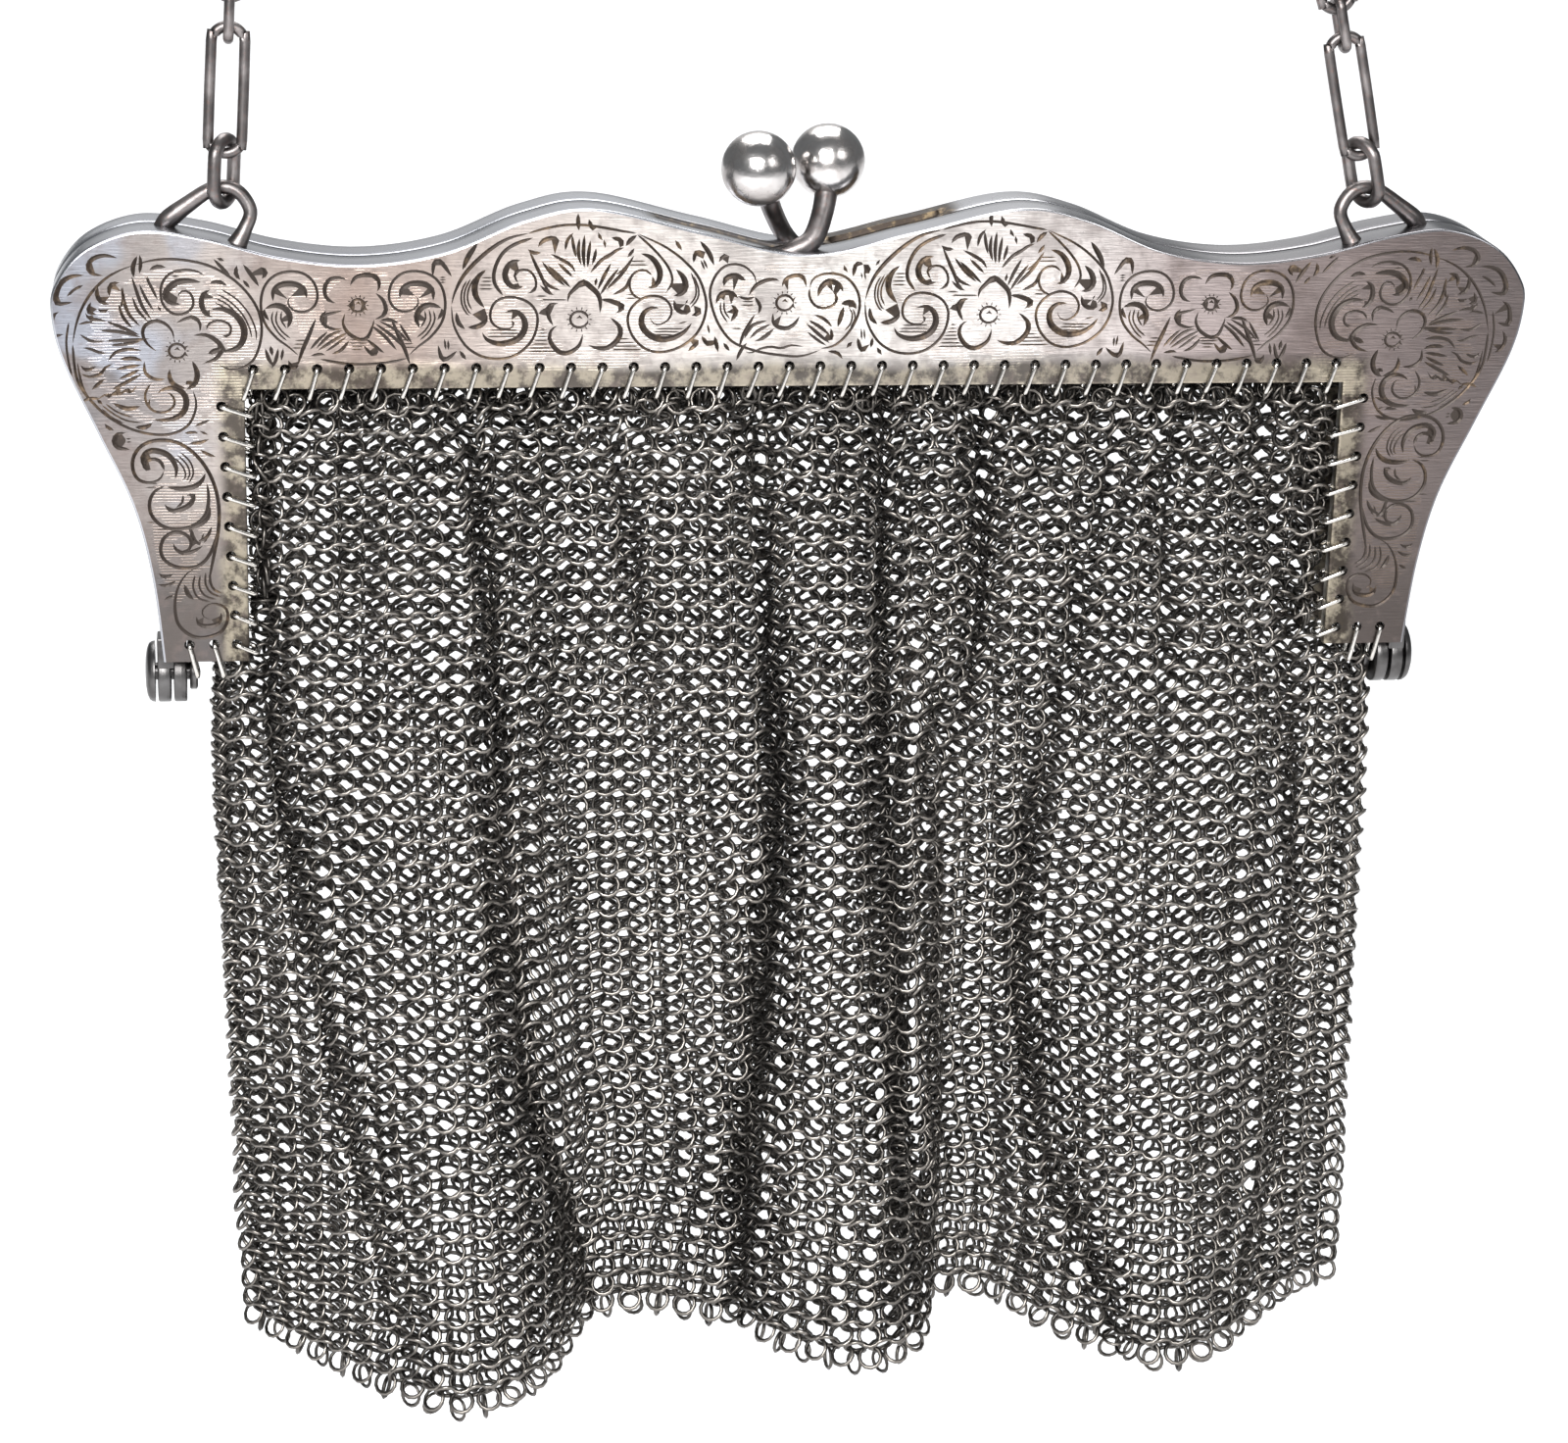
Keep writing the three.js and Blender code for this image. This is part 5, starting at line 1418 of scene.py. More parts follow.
def lugs(front):
    """Both hinge lugs of one half with the blocks that join them to its legs."""
    s = settings().frame
    foot, outer, inner, thick, gap, height = hinge_places()
    middle, radius = mm(s.depth) / 2, mm(settings().clasp.lug) / 2
    face = outer if front else inner
    top, low = 2 - mm(s.leg_length), -mm(s.leg_length) - 1.2
    near, far = middle - radius + 0.1, middle - gap / 2
    if not front:
        near, far = middle + gap / 2, middle + radius - 0.1
    parts = []
    for side in (-1, 1):
        lug = disc(face - thick, face, radius, 0.16, middle, height)
        start, end = min(face - thick, foot - 1), max(face, foot - 0.5)
        foot_block = block((start, near, low), (end, far, top), 0.15)
        for part in (lug, foot_block):
            parts.append(mirrored(part, 0, 0) if side < 0 else part)
    whole = joined(parts)
    for part in whole.faces:
        part.material_index = 3
    return whole


class PURSE_OT_front_half(bpy.types.Operator):
    """Build the engraved front half of the frame with its hinge lugs"""

    bl_idname = "purse.front_half"
    bl_label = "Front half"

    def execute(self, context):
        body = joined([frame_half(strokes(), -1), lugs(True)])
        looks = [plate_silver(), groove_oxide(), rim_silver(), hinge_silver()]
        to_piece("front_half_engraved", body, looks, ["front_frame"])
        return {"FINISHED"}


class PURSE_OT_back_half(bpy.types.Operator):
    """Build the plain back half of the frame with its hinge lugs"""

    bl_idname = "purse.back_half"
    bl_label = "Back half"

    def execute(self, context):
        middle = mm(settings().frame.depth) / 2
        half = mirrored(frame_half([], 1), 1, middle)
        looks = [bpy.data.materials[name] for name in (
            "engraved silver", "engraving oxide", "rim silver", "hinge silver",
        )]
        body = joined([half, lugs(False)])
        to_piece("back_half_plain", body, looks, ["back_frame"])
        return {"FINISHED"}


class PURSE_OT_clasp(bpy.types.Operator):
    """Build the two clasp balls on their crossing stems"""

    bl_idname = "purse.clasp"
    bl_label = "Kiss clasp"

    def execute(self, context):
        s = settings().frame
        ball, depth = mm(settings().clasp.ball), mm(s.depth)
        rim = TOP_EDGE[0][1] * mm(s.crest)
        looks = [chain_steel(), ball_silver()]
        halves = (("front", FRONT_STEM, lambda d: d), ("back", BACK_STEM, lambda d: 1 - d))
        for name, table, depth_share in halves:
            points = [
                (right * ball, depth_share(d) * depth, rim + rise * ball)
                for right, rise, d, _ in table
            ]
            stem = tube(points, [row[3] for row in table], 16)
            knob = bmesh.new()
            bmesh.ops.create_uvsphere(knob, u_segments=40, v_segments=24, radius=ball / 2)
            bmesh.ops.translate(knob, vec=points[-1], verts=knob.verts)
            for face in knob.faces:
                face.smooth = True
                face.material_index = 1
            node = f"{name}_frame"
            to_piece(f"clasp_{name}", joined([stem, knob]), looks, [node])
        return {"FINISHED"}


class PURSE_OT_bails(bpy.types.Operator):
    """Build the two bent wire bails that the chain hangs on"""

    bl_idname = "purse.bails"
    bl_label = "Bails"

    def execute(self, context):
        s = settings().frame
        crest, flare, depth = mm(s.crest), mm(s.flare), mm(s.depth)
        widest = mm(s.opening) / 2 + mm(s.leg_width) + flare
        parts = []
        for side in (-1, 1):
            points = [
                (side * (widest - inset * flare), d * depth, (1 + rise) * crest)
                for inset, rise, d, _ in BAIL
            ]
            parts.append(tube(points, [row[3] for row in BAIL], 14))
        steel = bpy.data.materials["chain steel"]
        to_piece("bails", joined(parts), [steel], ["front_frame"])
        return {"FINISHED"}


class PURSE_OT_hinge_pins(bpy.types.Operator):
    """Build the hinge pins with their domed caps"""

    bl_idname = "purse.hinge_pins"
    bl_label = "Hinge pins"

    def execute(self, context):
        _, outer, inner, thick, gap, height = hinge_places()
        middle, radius = mm(settings().frame.depth) / 2, mm(settings().clasp.lug) / 2
        tail, cap = inner - thick - gap, outer + gap
        dome = [(cap + rise, radius * out) for out, rise in CAP_DOME]
        profile = [
            (tail - 0.8, 0), (tail - 0.8, 1.7), (tail - 0.65, 1.9), (tail - 0.1, 1.9), (tail, 1.8),
            (tail, 0.9), (cap, 0.9), (cap, radius - 0.12), *dome,
        ]
        for name, side in (("left", -1), ("right", 1)):
            pin = disc(0, 0, 0, 0, middle, height, profile=profile)
            if side < 0:
                pin = mirrored(pin, 0, 0)
            node = f"hinge_pin_{name}"
            look = bpy.data.materials["hinge silver"]
            to_piece(f"hinge_cap_{name}", pin, [look], [node])
        return {"FINISHED"}


# ---- Ring mesh ----


def fold_line(half, fold, swing, middle):
    """The folds across the bag at one level: x, y and how far forward, as the CAD bag has."""
    points = [
        np.array((share * half + swing, middle - (forward - 0.38) * fold, forward))
        for share, forward in PLEATS
    ]
    points = [2 * points[0] - points[1], *points, 2 * points[-1] - points[-2]]
    t = np.linspace(0, 1, 25)[:-1, None]
    line = []
    for p0, p1, p2, p3 in zip(points, points[1:], points[2:], points[3:]):
        pairs = ((p0, p1), (p1, p2), (p2, p3))
        d0, d1, d2 = (max(np.linalg.norm(b - a) ** 0.5, 1e-4) for a, b in pairs)
        leave = ((p1 - p0) / d0 - (p2 - p0) / (d0 + d1) + (p2 - p1) / d1) * d1
        arrive = ((p2 - p1) / d1 - (p3 - p1) / (d1 + d2) + (p3 - p2) / d2) * d1
        cubic = (2 * p1 - 2 * p2 + leave + arrive) * t ** 3
        line.append(p1 + leave * t + (-3 * p1 + 3 * p2 - 2 * leave - arrive) * t ** 2 + cubic)
    return np.concatenate([*line, points[-2][None]])


# The bag's depth over both sides at the mouth and at the hem, and the room that a side takes.
MOUTH_DEPTH, HEM_DEPTH, MESH_WALL = 8.4, 3.6, 1.4
# The share of the folds at the mouth, how far a full fold hangs down, and the hem's swing.
FOLD_AT_MOUTH, HEM_DIP, HEM_SWING = 0.03, 4, 4
# The creases between the folds: their half width, then drop, x and depth down each one.
CREASES = (
    (2.4, (0, -56, 1), (31, -54.3, 2.4), (45, -52.5, 2.4), (76, -46.7, 2.4), (108, -39, 1)),
    (1.7, (0, -34.5, 2), (21, -31.6, 3), (55, -30.9, 3.2), (73, -29, 2.8), (108, -20, 1.5)),
    (1.8, (0, -21, 1.5), (14, -17.5, 1.8), (30, -15.2, 1), (42, -14, 0)),
    (2.6, (0, -5.6, 2), (28, -2.3, 3.4), (46, -0.8, 4), (83, -2.4, 4.8), (108, -3, 3)),
    (1.8, (0, 8.4, 2.8), (22, 8.9, 3.4), (46, 9.8, 3), (65, 10.8, 2.4), (108, 16, 0.8)),
    (2.2, (0, 18, 2.4), (16, 19.8, 3.4), (28, 19.5, 2.8), (40, 18, 1.4), (55, 16.5, 0)),
    (2.2, (0, 34.5, 0.6), (20, 30.4, 1.6), (36, 28, 2.2), (54, 26.1, 2.8), (68, 26.8, 2.8),
     (85, 29.8, 2.6), (97, 35, 2.4), (108, 39.5, 1.6)),
    (1.8, (0, 36.5, 1.4), (23, 39.1, 1.4), (40, 38.5, 0.6), (52, 38, 0)),
    (2.4, (0, 47.5, 1.4), (29, 52.6, 1.8), (57, 55.7, 1.8), (90, 54.7, 1.6), (108, 52, 1)),
)
# The small ripples under the lip: wavelength, height and start in millimetres.
RIPPLES = ((4.6, 0.28, 0.7), (7.1, 0.4, 2.9), (10.7, 0.35, 5.1))
RIPPLE_REACH = 24
# The front's creases over the depths above, the columns that hang beside the legs, and the
# drop in which they spread the others out under the hinge.
CREASE_DEPTH, EDGE_COLUMNS, EASE_BELOW_HINGE = 1.25, 6, 9
GATHERED_RINGS = 270
# The rings of the front and the back: side, segments, sides of the wire, and how much thicker
# it is drawn to make up for its few sides.
RING_SHAPES = ((1, 12, 4, 1.04), (-1, 10, 3, 1.1))
# The drop of the first row of rings, and how far the last one hangs above the hem.
FIRST_ROW, LAST_ROW_RISE = 1.55, 0.9
# How much brighter a ring is made for each millimetre that it stands out of the sheet: partly wear,
# partly a painted highlight on its outer arcs with painted shade on the arcs that recede.
RING_WEAR_AND_SHEEN = 0.55


def creased(x, drop, side):
    """How far the creases and ripples set the mesh back at some places across it."""
    share = drop / mm(settings().mesh.drop)
    deep = np.zeros_like(x)
    for width, *route in CREASES:
        drops, spots, depths = np.array(route).T
        depth = np.interp(drop, drops, depths) * (CREASE_DEPTH if side > 0 else share ** 0.6)
        deep += depth * np.exp(-(((x - np.interp(drop, drops, spots)) / (width * 0.6)) ** 2))
    for wave, height, start in RIPPLES:
        ripple = np.sin(2 * math.pi * (x - start * side) / wave)
        deep += height * math.exp(-drop / RIPPLE_REACH) * ripple
    return deep


def bag_level(drop, side):
    """One side of the bag at one level: points from left to right with their arc lengths."""
    s, frame_s = settings().mesh, settings().frame
    share = drop / mm(s.drop)
    hinge = mm(frame_s.leg_length) + mm(settings().clasp.hinge_drop)
    half = mm(frame_s.opening) / 2 - MOUTH_GAP - MESH_WALL / 2
    half += np.interp(max(drop, hinge), [row[0] for row in WIDENING], [row[1] for row in WIDENING])
    fold = mm(s.fold) * lerp(FOLD_AT_MOUTH, 1, share ** 1.2)
    line = fold_line(half, fold, HEM_SWING * share, mm(frame_s.depth) / 2)
    line[:, 1] += creased(line[:, 0], drop, side)
    along = np.gradient(line[:, :2], axis=0)
    out = np.stack([along[:, 1] * share ** 2, -along[:, 0]], 1)
    out /= np.linalg.norm(out, axis=1)[:, None]
    thickness = lerp(MOUTH_DEPTH, HEM_DEPTH, share ** 2)
    shift = out * (thickness / 2 - MESH_WALL / 2) * side
    height = -drop - HEM_DIP * line[:, 2] * share ** 2
    points = np.stack([line[:, 0] + shift[:, 0], line[:, 1] + shift[:, 1], height], 1)
    middle = np.stack([line[:, 0], line[:, 1], height], 1)[[0, -1]]
    bulge = np.array((0.35, 0, 0))
    points = np.concatenate([[middle[0] - bulge], points, [middle[1] + bulge]])
    lengths = np.concatenate([[0], np.cumsum(np.linalg.norm(np.diff(points, axis=0), axis=1))])
    return points, lengths


def ring_grid(side):
    """Where the rings of one side hang: for each row their columns, places and ways along it."""
    s = settings().mesh
    pitch, columns = mm(s.row_pitch), s.columns
    leg, edge = mm(settings().frame.leg_length) + 1, mm(settings().frame.opening) / 2 - 1.5
    first, last = FIRST_ROW, mm(s.drop) - LAST_ROW_RISE
    count = int((last - first) / pitch) + 1
    offsets = np.arange(-columns, columns + 1) / 2
    table = np.full((count, len(offsets), 3), np.nan)
    tangents = np.full_like(table, np.nan)
    for j in range(count):
        drop = first + j * pitch
        points, lengths = bag_level(drop, side)
        at = lengths[-1] * (0.5 + offsets / columns)
        low, high = np.interp((-edge, edge), points[1:-1, 0], lengths[1:-1])
        inner = (low + high) / 2 + offsets * (high - low) / (columns - EDGE_COLUMNS)
        if drop < leg:
            at = inner
            kept = np.abs(offsets) <= (columns - EDGE_COLUMNS) / 2 + 0.01
        else:
            ease = max(0, 1 - (drop - leg) / EASE_BELOW_HINGE) ** 2
            at = at + (inner - at) * ease * (1 - (np.abs(offsets) * 2 / columns) ** 2)
            kept = np.ones(len(offsets), bool)
        for axis in range(3):
            table[j, kept, axis] = np.interp(at[kept], lengths, points[:, axis])
            ahead = np.interp(at[kept] + 0.6, lengths, points[:, axis])
            behind = np.interp(at[kept] - 0.6, lengths, points[:, axis])
            tangents[j, kept, axis] = ahead - behind
    return offsets, table, tangents


def ring_template(segments, sides, radius, wire):
    """One ring in the XZ plane: its vertices and faces."""
    bm = bmesh.new()
    made = bmesh.ops.create_circle(bm, segments=sides, radius=wire / 2)
    bmesh.ops.translate(bm, vec=(radius, 0, 0), verts=bm.verts)
    edges = list({e for v in made["verts"] for e in v.link_edges})
    bmesh.ops.rotate(
        bm, cent=(radius, 0, 0), matrix=Matrix.Rotation(math.radians(90), 3, "X"), verts=bm.verts,
    )
    bmesh.ops.spin(
        bm, geom=made["verts"] + edges, cent=(0, 0, 0), axis=(0, 0, 1), angle=2 * math.pi,
        steps=segments, use_merge=True, use_duplicate=False,
    )
    bmesh.ops.rotate(
        bm, cent=(0, 0, 0), matrix=Matrix.Rotation(math.radians(90), 3, "X"), verts=bm.verts,
    )
    bmesh.ops.recalc_face_normals(bm, faces=bm.faces)
    bm.verts.index_update()
    verts = np.array([v.co[:] for v in bm.verts])
    faces = np.array([[v.index for v in f.verts] for f in bm.faces])
    bm.free()
    return verts, faces


def copies(name, verts, faces, places, axes, tones, look, replaced, sheen_and_wear=0.0):
    """Many copies of a template in one piece, each with its own place, axes and tone. The sheen and
    wear factor brightens them for each millimetre towards the back: partly wear, partly a painted
    highlight on the arcs that stand out and painted shade on those that recede."""
    offsets = np.einsum("vk,nkc->nvc", verts, axes)
    spread = (offsets + places[:, None]) * MM + np.array(HOME)
    worn = np.clip(tones[:, None] + offsets[..., 1] * sheen_and_wear, 0, 1)
    count = len(places)
    corners = faces[None] + np.arange(count)[:, None, None] * len(verts)
    corners = corners.reshape(-1, faces.shape[1])
    data = bpy.data.meshes.new(name)
    data.from_pydata(spread.reshape(-1, 3), [], corners)
    tone = data.attributes.new("tone", "FLOAT", "POINT")
    tone.data.foreach_set("value", worn.ravel().astype(np.float32))
    data.polygons.foreach_set("use_smooth", np.ones(len(corners), bool))
    data.update()
    return dress(name, data, [look], replaced)


def unit(vectors):
    return vectors / np.maximum(np.linalg.norm(vectors, axis=-1, keepdims=True), 1e-9)


def ring_axes(along, down, tilt, turn):
    """A ring's own axes: along its row, out of its face and up, tipped and turned."""
    along = unit(along)
    up = unit(-(down - (down * along).sum(-1, keepdims=True) * along))
    out = np.cross(along, up)
    ct, st = np.cos(tilt)[:, None], np.sin(tilt)[:, None]
    face, rise = out * ct + up * st, up * ct - out * st
    cu, su = np.cos(turn)[:, None], np.sin(turn)[:, None]
    return np.stack([along * cu + face * su, face * cu - along * su, rise], 1)


def crease_shade_depths(places, rows, side):
    """How deep in a crease each ring hangs, for the painted shade that darkens the rings in the
    creases.
    """
    pitch = mm(settings().mesh.row_pitch)
    depths = np.zeros(len(places))
    for row in np.unique(rows):
        here = rows == row
        depths[here] = creased(places[here, 0], FIRST_ROW + row * pitch, side)
    return np.maximum(depths, 0)


class PURSE_OT_ring_mesh(bpy.types.Operator):
    """Weave the bag from separate rings, each through four neighbours"""

    bl_idname = "purse.ring_mesh"
    bl_label = "Ring mesh"

    def execute(self, context):
        s, look = settings().mesh, settings().finish
        random = np.random.default_rng(s.seed)
        wire = mm(s.wire)
        radius = (mm(s.ring) - wire) / 2
        templates = {
            side: ring_template(segments, sides, radius, wire * thicker)
            for side, segments, sides, thicker in RING_SHAPES
        }
        metal = wire_metal("ring metal", tuple(look.mesh_dark), tuple(look.mesh_light), 60, 0.32)
        for name, side in (("front", 1), ("back", -1)):
            verts, faces = templates[side]
            offsets, table, tangents = ring_grid(side)
            down = np.full_like(table, np.nan)
            down[2:-2] = table[4:] - table[:-4]
            down[:2] = table[2:4] - table[:2]
            down[-2:] = table[-2:] - table[-4:-2]
            missing = np.isnan(down).any(-1)
            down[missing] = (0, 0, -1)
            rows, cols = np.nonzero(~np.isnan(table).any(-1))
            half_step = np.rint(offsets * 2).astype(int)
            even = (half_step[cols] + rows) % 2 == (s.columns + 1) % 2
            shared = (side < 0) & (np.abs(offsets[cols]) >= s.columns / 2 - 0.01)
            rows, cols = rows[even & ~shared], cols[even & ~shared]
            lean = np.where(rows % 2 == 0, 1.0, -1.0)
            jitter = random.normal(0, 1, (3, len(rows)))
            near_mouth = np.exp(-rows / 5.0)
            tilt = lean * s.tilt * side + jitter[0] * (0.05 + 0.12 * near_mouth)
            turn = lean * s.turn + jitter[1] * (0.06 + 0.16 * near_mouth)
            places = table[rows, cols] + random.normal(0, 1, (len(rows), 3)) * (
                0.05 + 0.1 * near_mouth[:, None]
            )
            axes = ring_axes(tangents[rows, cols], down[rows, cols], tilt, turn)
            # Painted shade in the rings' tones: the back's rings start darker, as shade behind the
            # front, and rings deep in a crease and rows towards the hem are darkened; the jitter is
            # each ring's own tone.
            deep = crease_shade_depths(table[rows, cols], rows, side)
            low = (rows / rows.max()) ** 3
            tones = (0.5 if side > 0 else 0.35) + 0.16 * jitter[2] - 0.2 * deep - 0.15 * low
            if side > 0:
                self.gathered(random, verts, faces, metal)
            for k, part in enumerate(("left", "middle", "right")):
                third = np.clip(np.floor((offsets[cols] / s.columns + 0.5) * 3), 0, 2)
                kept = third == k
                copies(
                    f"ring_mesh_{name}_{part}", verts, faces, places[kept], axes[kept],
                    tones[kept], metal, ["mesh_bag"], -RING_WEAR_AND_SHEEN * side,
                )
        return {"FINISHED"}

    def gathered(self, random, verts, faces, metal):
        """The rings that bunch up where the mesh is sewn under the lip and beside the legs."""
        s = settings().frame
        half, leg, depth = mm(s.opening) / 2, mm(s.leg_length), mm(s.depth)
        count = GATHERED_RINGS
        share = random.uniform(-1, 1, count)
        top = np.stack([
            share * (half - 1.6), random.uniform(2.1, 2.9, count), -random.uniform(0.9, 2.6, count),
        ], 1)
        beside = count // 3
        end = np.where(random.uniform(size=beside) < 0.5, -1, 1)
        edge = np.stack([
            end * (half - random.uniform(1.5, 2, beside)),
            random.uniform(1.9, 3, beside), -random.uniform(2, leg - 1, beside),
        ], 1)
        places = np.concatenate([top, edge])
        behind = random.uniform(size=len(places)) < 0.4
        places[behind, 1] = depth - places[behind, 1]
        total = len(places)
        along, down = np.tile((1.0, 0, 0), (total, 1)), np.tile((0, 0, -1.0), (total, 1))
        axes = ring_axes(along, down, random.normal(0, 0.7, total), random.normal(0, 0.9, total))
        tones = np.clip(random.normal(0.15, 0.12, total), 0, 1)
        copies(
            "gathered_rings", verts, faces, places, axes, tones, metal, ["mesh_bag"],
        )


class PURSE_OT_hem_rings(bpy.types.Operator):
    """Close the bag along its hem with a row of rings through both sides"""

    bl_idname = "purse.hem_rings"
    bl_label = "Hem rings"

    def execute(self, context):
        s = settings().mesh
        random = np.random.default_rng(s.seed + 1)
        wire = mm(s.wire)
        verts, faces = ring_template(14, 4, (mm(s.ring) - wire) / 2, wire)
        drop = mm(s.drop) - 0.3
        front, _ = bag_level(drop, 1)
        back, _ = bag_level(drop, -1)
        middle = (front + back) / 2
        lengths = np.concatenate([[0], np.cumsum(np.linalg.norm(np.diff(middle, axis=0), axis=1))])
        count = s.columns
        at = np.linspace(1, lengths[-1] - 1, count)
        places = np.stack([np.interp(at, lengths, middle[:, k]) for k in range(3)], 1)
        ahead = np.stack([np.interp(at + 0.5, lengths, middle[:, k]) for k in range(3)], 1)
        along = unit(ahead - places)
        turn = math.radians(90) + random.normal(0, 0.3, count)
        turn[1::2] -= math.radians(62)
        tilt = random.normal(0, 0.12, count)
        axes = ring_axes(along, np.tile((0.0, 0, -1), (count, 1)), tilt, turn)
        metal = bpy.data.materials["ring metal"]
        tones = np.clip(random.normal(0.2, 0.15, count), 0, 1)
        copies("hem_rings", verts, faces, places, axes, tones, metal, ["mesh_bag"])
        return {"FINISHED"}


class PURSE_OT_sewing_rings(bpy.types.Operator):
    """Sew the mesh to the frame with a wire ring through every hole"""

    bl_idname = "purse.sewing_rings"
    bl_label = "Sewing rings"

    def execute(self, context):
        s, sewing, look = settings().frame, settings().sewing, settings().finish
        wire = mm(sewing.wire)
        silver = wire_metal("sewing silver", (0.2, 0.19, 0.175), (0.6, 0.575, 0.54), 300, 0.16)
        random = np.random.default_rng(settings().mesh.seed + 2)
        for name, front in (("front", True), ("back", False)):
            parts = []
            for x, z, way in stitch_spots():
                way = Vector((way[0] + random.normal(0, 0.08), 0, way[1] + random.normal(0, 0.06)))
                reach = way.length
                outline = (
                    (0, -0.02), (0.12, -0.2), (0.4, -0.27), (reach * 0.5, -0.24),
                    (reach - 0.3, -0.18), (reach - 0.05, 0.1), (reach, 0.8), (reach - 0.05, 1.6),
                    (reach - 0.4, 1.9), (reach * 0.5, 1.95), (0.45, 1.9), (0.1, 1.6), (0, 1.0),
                )
                direction = way.normalized()
                points = [Vector((x, depth, z)) + direction * run for run, depth in outline]
                parts.append(closed_wire(points, wire / 2, 6))
            whole = joined(parts)
            if not front:
                whole = mirrored(whole, 1, mm(s.depth) / 2)
            layer = whole.verts.layers.float.new("tone")
            for vert in whole.verts:
                vert[layer] = 0.75
            node = f"{name}_frame"
            to_piece(f"sewing_rings_{name}", whole, [silver], [node], math.pi)
        return {"FINISHED"}


def closed_wire(points, radius, sides, steps=2):
    """A wire that runs round a closed line of points, as a bmesh."""
    count = len(points)
    line = []
    for i in range(count):
        p0, p1, p2, p3 = (points[(i + k) % count] for k in (-1, 0, 1, 2))
        for k in range(steps):
            t = k / steps
            line.append(0.5 * (
                2 * p1 + (p2 - p0) * t + (2 * p0 - 5 * p1 + 4 * p2 - p3) * t ** 2
                + (3 * p1 - p0 - 3 * p2 + p3) * t ** 3
            ))
    normal = sum((a.cross(b) for a, b in zip(line, line[1:] + line[:1])), Vector()).normalized()
    bm = bmesh.new()
    rings = []
    for i, spot in enumerate(line):
        along = (line[(i + 1) % len(line)] - line[i - 1]).normalized()
        other = normal.cross(along)
        angles = [2 * math.pi * k / sides for k in range(sides)]
        rings.append([
            bm.verts.new(spot + (normal * math.cos(a) + other * math.sin(a)) * radius)
            for a in angles
        ])
    for ring, following in zip(rings, rings[1:] + rings[:1]):
        for k in range(sides):
            n = (k + 1) % sides
            bm.faces.new((ring[k], ring[n], following[n], following[k]))
    bmesh.ops.recalc_face_normals(bm, faces=bm.faces)
    for face in bm.faces:
        face.smooth = True
    return bm


class PURSE_OT_chain(bpy.types.Operator):
    """Build the carrying chain's links, each in the place of its CAD link"""

    bl_idname = "purse.chain"
    bl_label = "Chain"

    def execute(self, context):
        names = sorted(name for name in frame["nodes"] if name.startswith("chain_link_"))
        parts = []
        for name in names:
            spots = np.array([v.co[:] for v in frame["nodes"][name].data.vertices])
            spots = (spots - np.array(HOME)) / MM
            low, high = spots.min(0), spots.max(0)
            centre = spots.mean(0)
            _, _, ways = np.linalg.svd(spots - centre, full_matrices=False)
            reach = (spots - centre) @ ways.T
            size = reach.max(0) - reach.min(0)
            centre = centre + ((reach.max(0) + reach.min(0)) / 2) @ ways
            length, width, wire = size[0], size[1], size[2] * 1.04
            long_way, wide_way = Vector(ways[0]), Vector(ways[1])
            straight, radius = (length - width) / 2, (width - wire) / 2
            points = []
            for k in range(20):
                angle = 2 * math.pi * (k + 0.5) / 20
                lift = math.sin(angle) * radius + math.copysign(straight, math.sin(angle))
                swell = 1 + 0.05 * math.sin(angle) if length > 10 else 1
                out = math.cos(angle) * radius * swell
                points.append(Vector(centre) + long_way * lift + wide_way * out)
            parts.append(closed_wire(points, wire / 2, 12))
        steel = bpy.data.materials["chain steel"]
        to_piece("carrying_chain", joined(parts), [steel], names, math.pi)
        return {"FINISHED"}


# ---- Stage ----


# Each soft lamp: its name, its place from the middle of the mouth line, its size and power.
LAMPS = (
    ("key", (-0.2, -0.75, 0.4), 0.45, 14.0),
    ("room", (0, 1.3, 2.4), 2.2, 90.0),
    ("wall", (0, 3.2, 1.25), 2.2, 9.0),
    ("fill", (0.6, -0.7, 0.5), 0.35, 2.0),
)
AIM_DROP, FLOOR_SIZE, FLOOR_BACK = 0.04, 18, 4


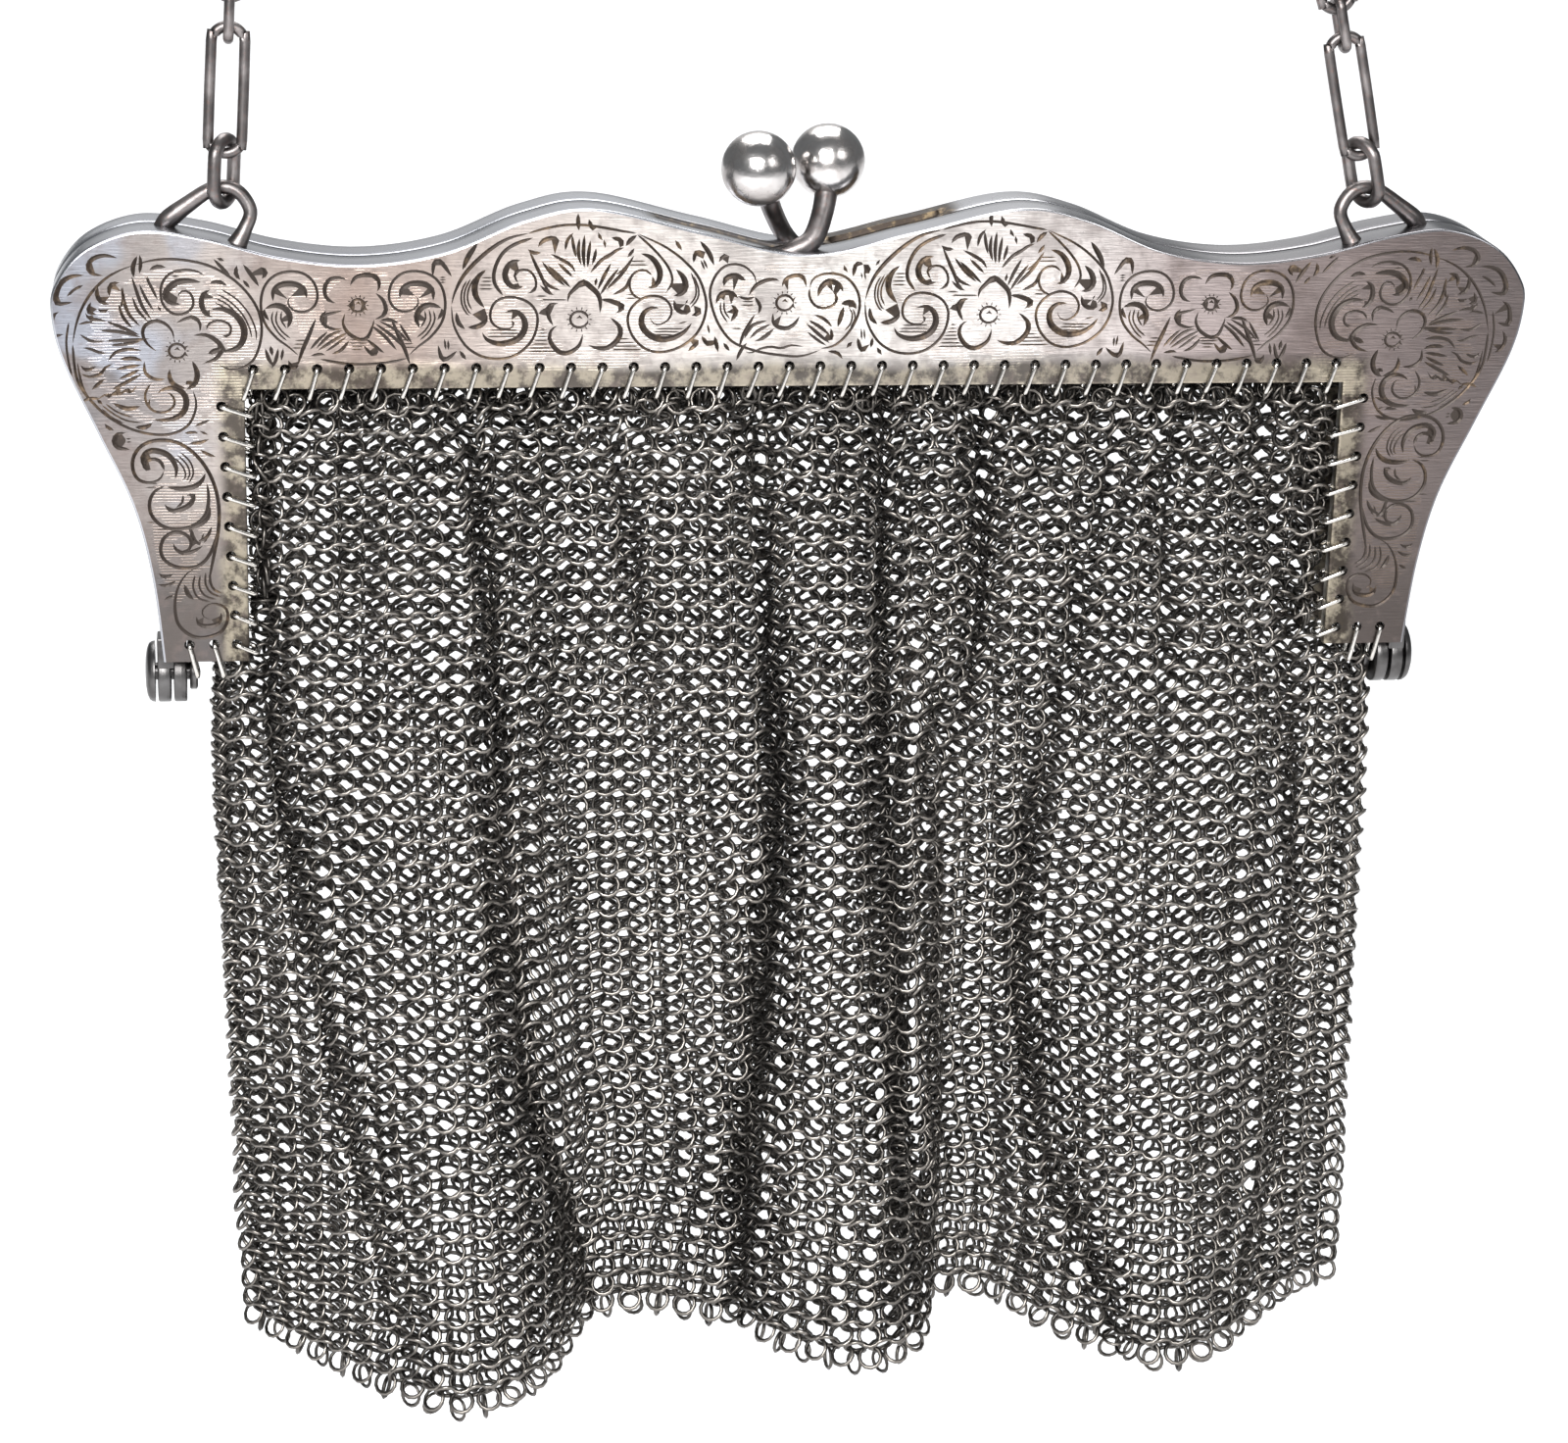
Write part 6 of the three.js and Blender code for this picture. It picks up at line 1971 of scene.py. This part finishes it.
class PURSE_OT_stage(bpy.types.Operator):
    """Set the camera, the pale floor and the soft light"""

    bl_idname = "purse.stage"
    bl_label = "Stage"

    def execute(self, context):
        s = settings().stage
        scene = bpy.context.scene
        scene.view_settings.view_transform = "Standard"
        yaw, rise = s.azimuth, s.elevation
        level = math.cos(rise)
        back = Vector((-math.sin(yaw) * level, -math.cos(yaw) * level, math.sin(rise)))
        spot = HOME + Vector(s.aim) + back * s.distance
        right = (-back).cross(Vector((0, 0, 1))).normalized()
        up = right.cross(-back)
        across = right * math.cos(s.roll) + up * math.sin(s.roll)
        upright = up * math.cos(s.roll) - right * math.sin(s.roll)
        data = bpy.data.cameras.new("camera")
        data.lens, data.sensor_width, data.sensor_fit = s.lens, 36, "HORIZONTAL"
        data.clip_start, data.clip_end = 0.01, 60
        camera = bpy.data.objects.new("camera", data)
        turned = Matrix((across, upright, back)).transposed().to_4x4()
        camera.matrix_world = Matrix.Translation(spot) @ turned
        scene.collection.objects.link(camera)
        scene.camera = camera
        self.floor(s)
        self.lights(s)
        return {"FINISHED"}

    def floor(self, s):
        bm = bmesh.new()
        bmesh.ops.create_grid(bm, x_segments=1, y_segments=1, size=FLOOR_SIZE / 2)
        height = BAG_LOW.z - s.floor_drop
        bmesh.ops.translate(bm, vec=(0, FLOOR_BACK, height), verts=bm.verts)
        data = bpy.data.meshes.new("floor")
        bm.to_mesh(data)
        bm.free()
        floor = bpy.data.objects.new("floor", data)
        bpy.context.scene.collection.objects.link(floor)
        shader = Shader("pale floor")
        data.materials.append(shader.finish(tuple(s.floor_colour), 0.0, 0.9))

    def lights(self, s):
        world = bpy.context.scene.world or bpy.data.worlds.new("room")
        bpy.context.scene.world = world
        world.use_nodes = True
        light = world.node_tree.nodes["Background"]
        light.inputs["Color"].default_value = (0.93, 0.97, 1, 1)
        light.inputs["Strength"].default_value = s.daylight
        for name, offset, size, power in LAMPS:
            data = bpy.data.lights.new(name, "AREA")
            data.shape, data.size, data.energy = "SQUARE", size, power
            lamp = bpy.data.objects.new(name, data)
            spot = HOME + Vector(offset)
            lamp.location = spot
            aim = HOME - Vector((0, 0, AIM_DROP))
            lamp.rotation_euler = (spot - aim).to_track_quat("Z", "Y").to_euler()
            bpy.context.scene.collection.objects.link(lamp)


class PURSE_PT_panel(bpy.types.Panel):
    bl_label = "Ring-mesh purse"
    bl_idname = "PURSE_PT_panel"
    bl_space_type = "VIEW_3D"
    bl_region_type = "UI"
    bl_category = "Purse"

    def draw(self, context):
        for name, operators in PANEL_GROUPS:
            group = getattr(settings(), name)
            box = self.layout.box()
            box.label(text=name.capitalize())
            for prop in group.bl_rna.properties:
                if prop.identifier not in ("rna_type", "name"):
                    box.prop(group, prop.identifier)
            for operator in operators:
                box.operator(operator.bl_idname)


PANEL_GROUPS = (
    ("frame", (PURSE_OT_front_half, PURSE_OT_back_half)),
    ("clasp", (PURSE_OT_clasp, PURSE_OT_bails, PURSE_OT_hinge_pins)),
    ("mesh", (PURSE_OT_ring_mesh, PURSE_OT_hem_rings)),
    ("sewing", (PURSE_OT_sewing_rings,)),
    ("finish", (PURSE_OT_chain,)),
    ("stage", (PURSE_OT_stage,)),
)
CLASSES = (
    PurseFrameSettings,
    PurseSewingSettings,
    PurseClaspSettings,
    PurseMeshSettings,
    PurseFinishSettings,
    PurseStageSettings,
    PurseSettings,
    PURSE_OT_front_half,
    PURSE_OT_back_half,
    PURSE_OT_clasp,
    PURSE_OT_bails,
    PURSE_OT_hinge_pins,
    PURSE_OT_ring_mesh,
    PURSE_OT_hem_rings,
    PURSE_OT_sewing_rings,
    PURSE_OT_chain,
    PURSE_OT_stage,
    PURSE_PT_panel,
)


def register():
    for cls in CLASSES:
        bpy.utils.register_class(cls)
    bpy.types.Scene.purse = PointerProperty(type=PurseSettings)


def unregister():
    del bpy.types.Scene.purse
    for cls in reversed(CLASSES):
        bpy.utils.unregister_class(cls)


def main():
    register()
    bpy.ops.purse.front_half()
    bpy.ops.purse.back_half()
    bpy.ops.purse.clasp()
    bpy.ops.purse.bails()
    bpy.ops.purse.hinge_pins()
    bpy.ops.purse.ring_mesh()
    bpy.ops.purse.hem_rings()
    bpy.ops.purse.sewing_rings()
    bpy.ops.purse.chain()
    bpy.ops.purse.stage()


if __name__ == "__main__":
    main()
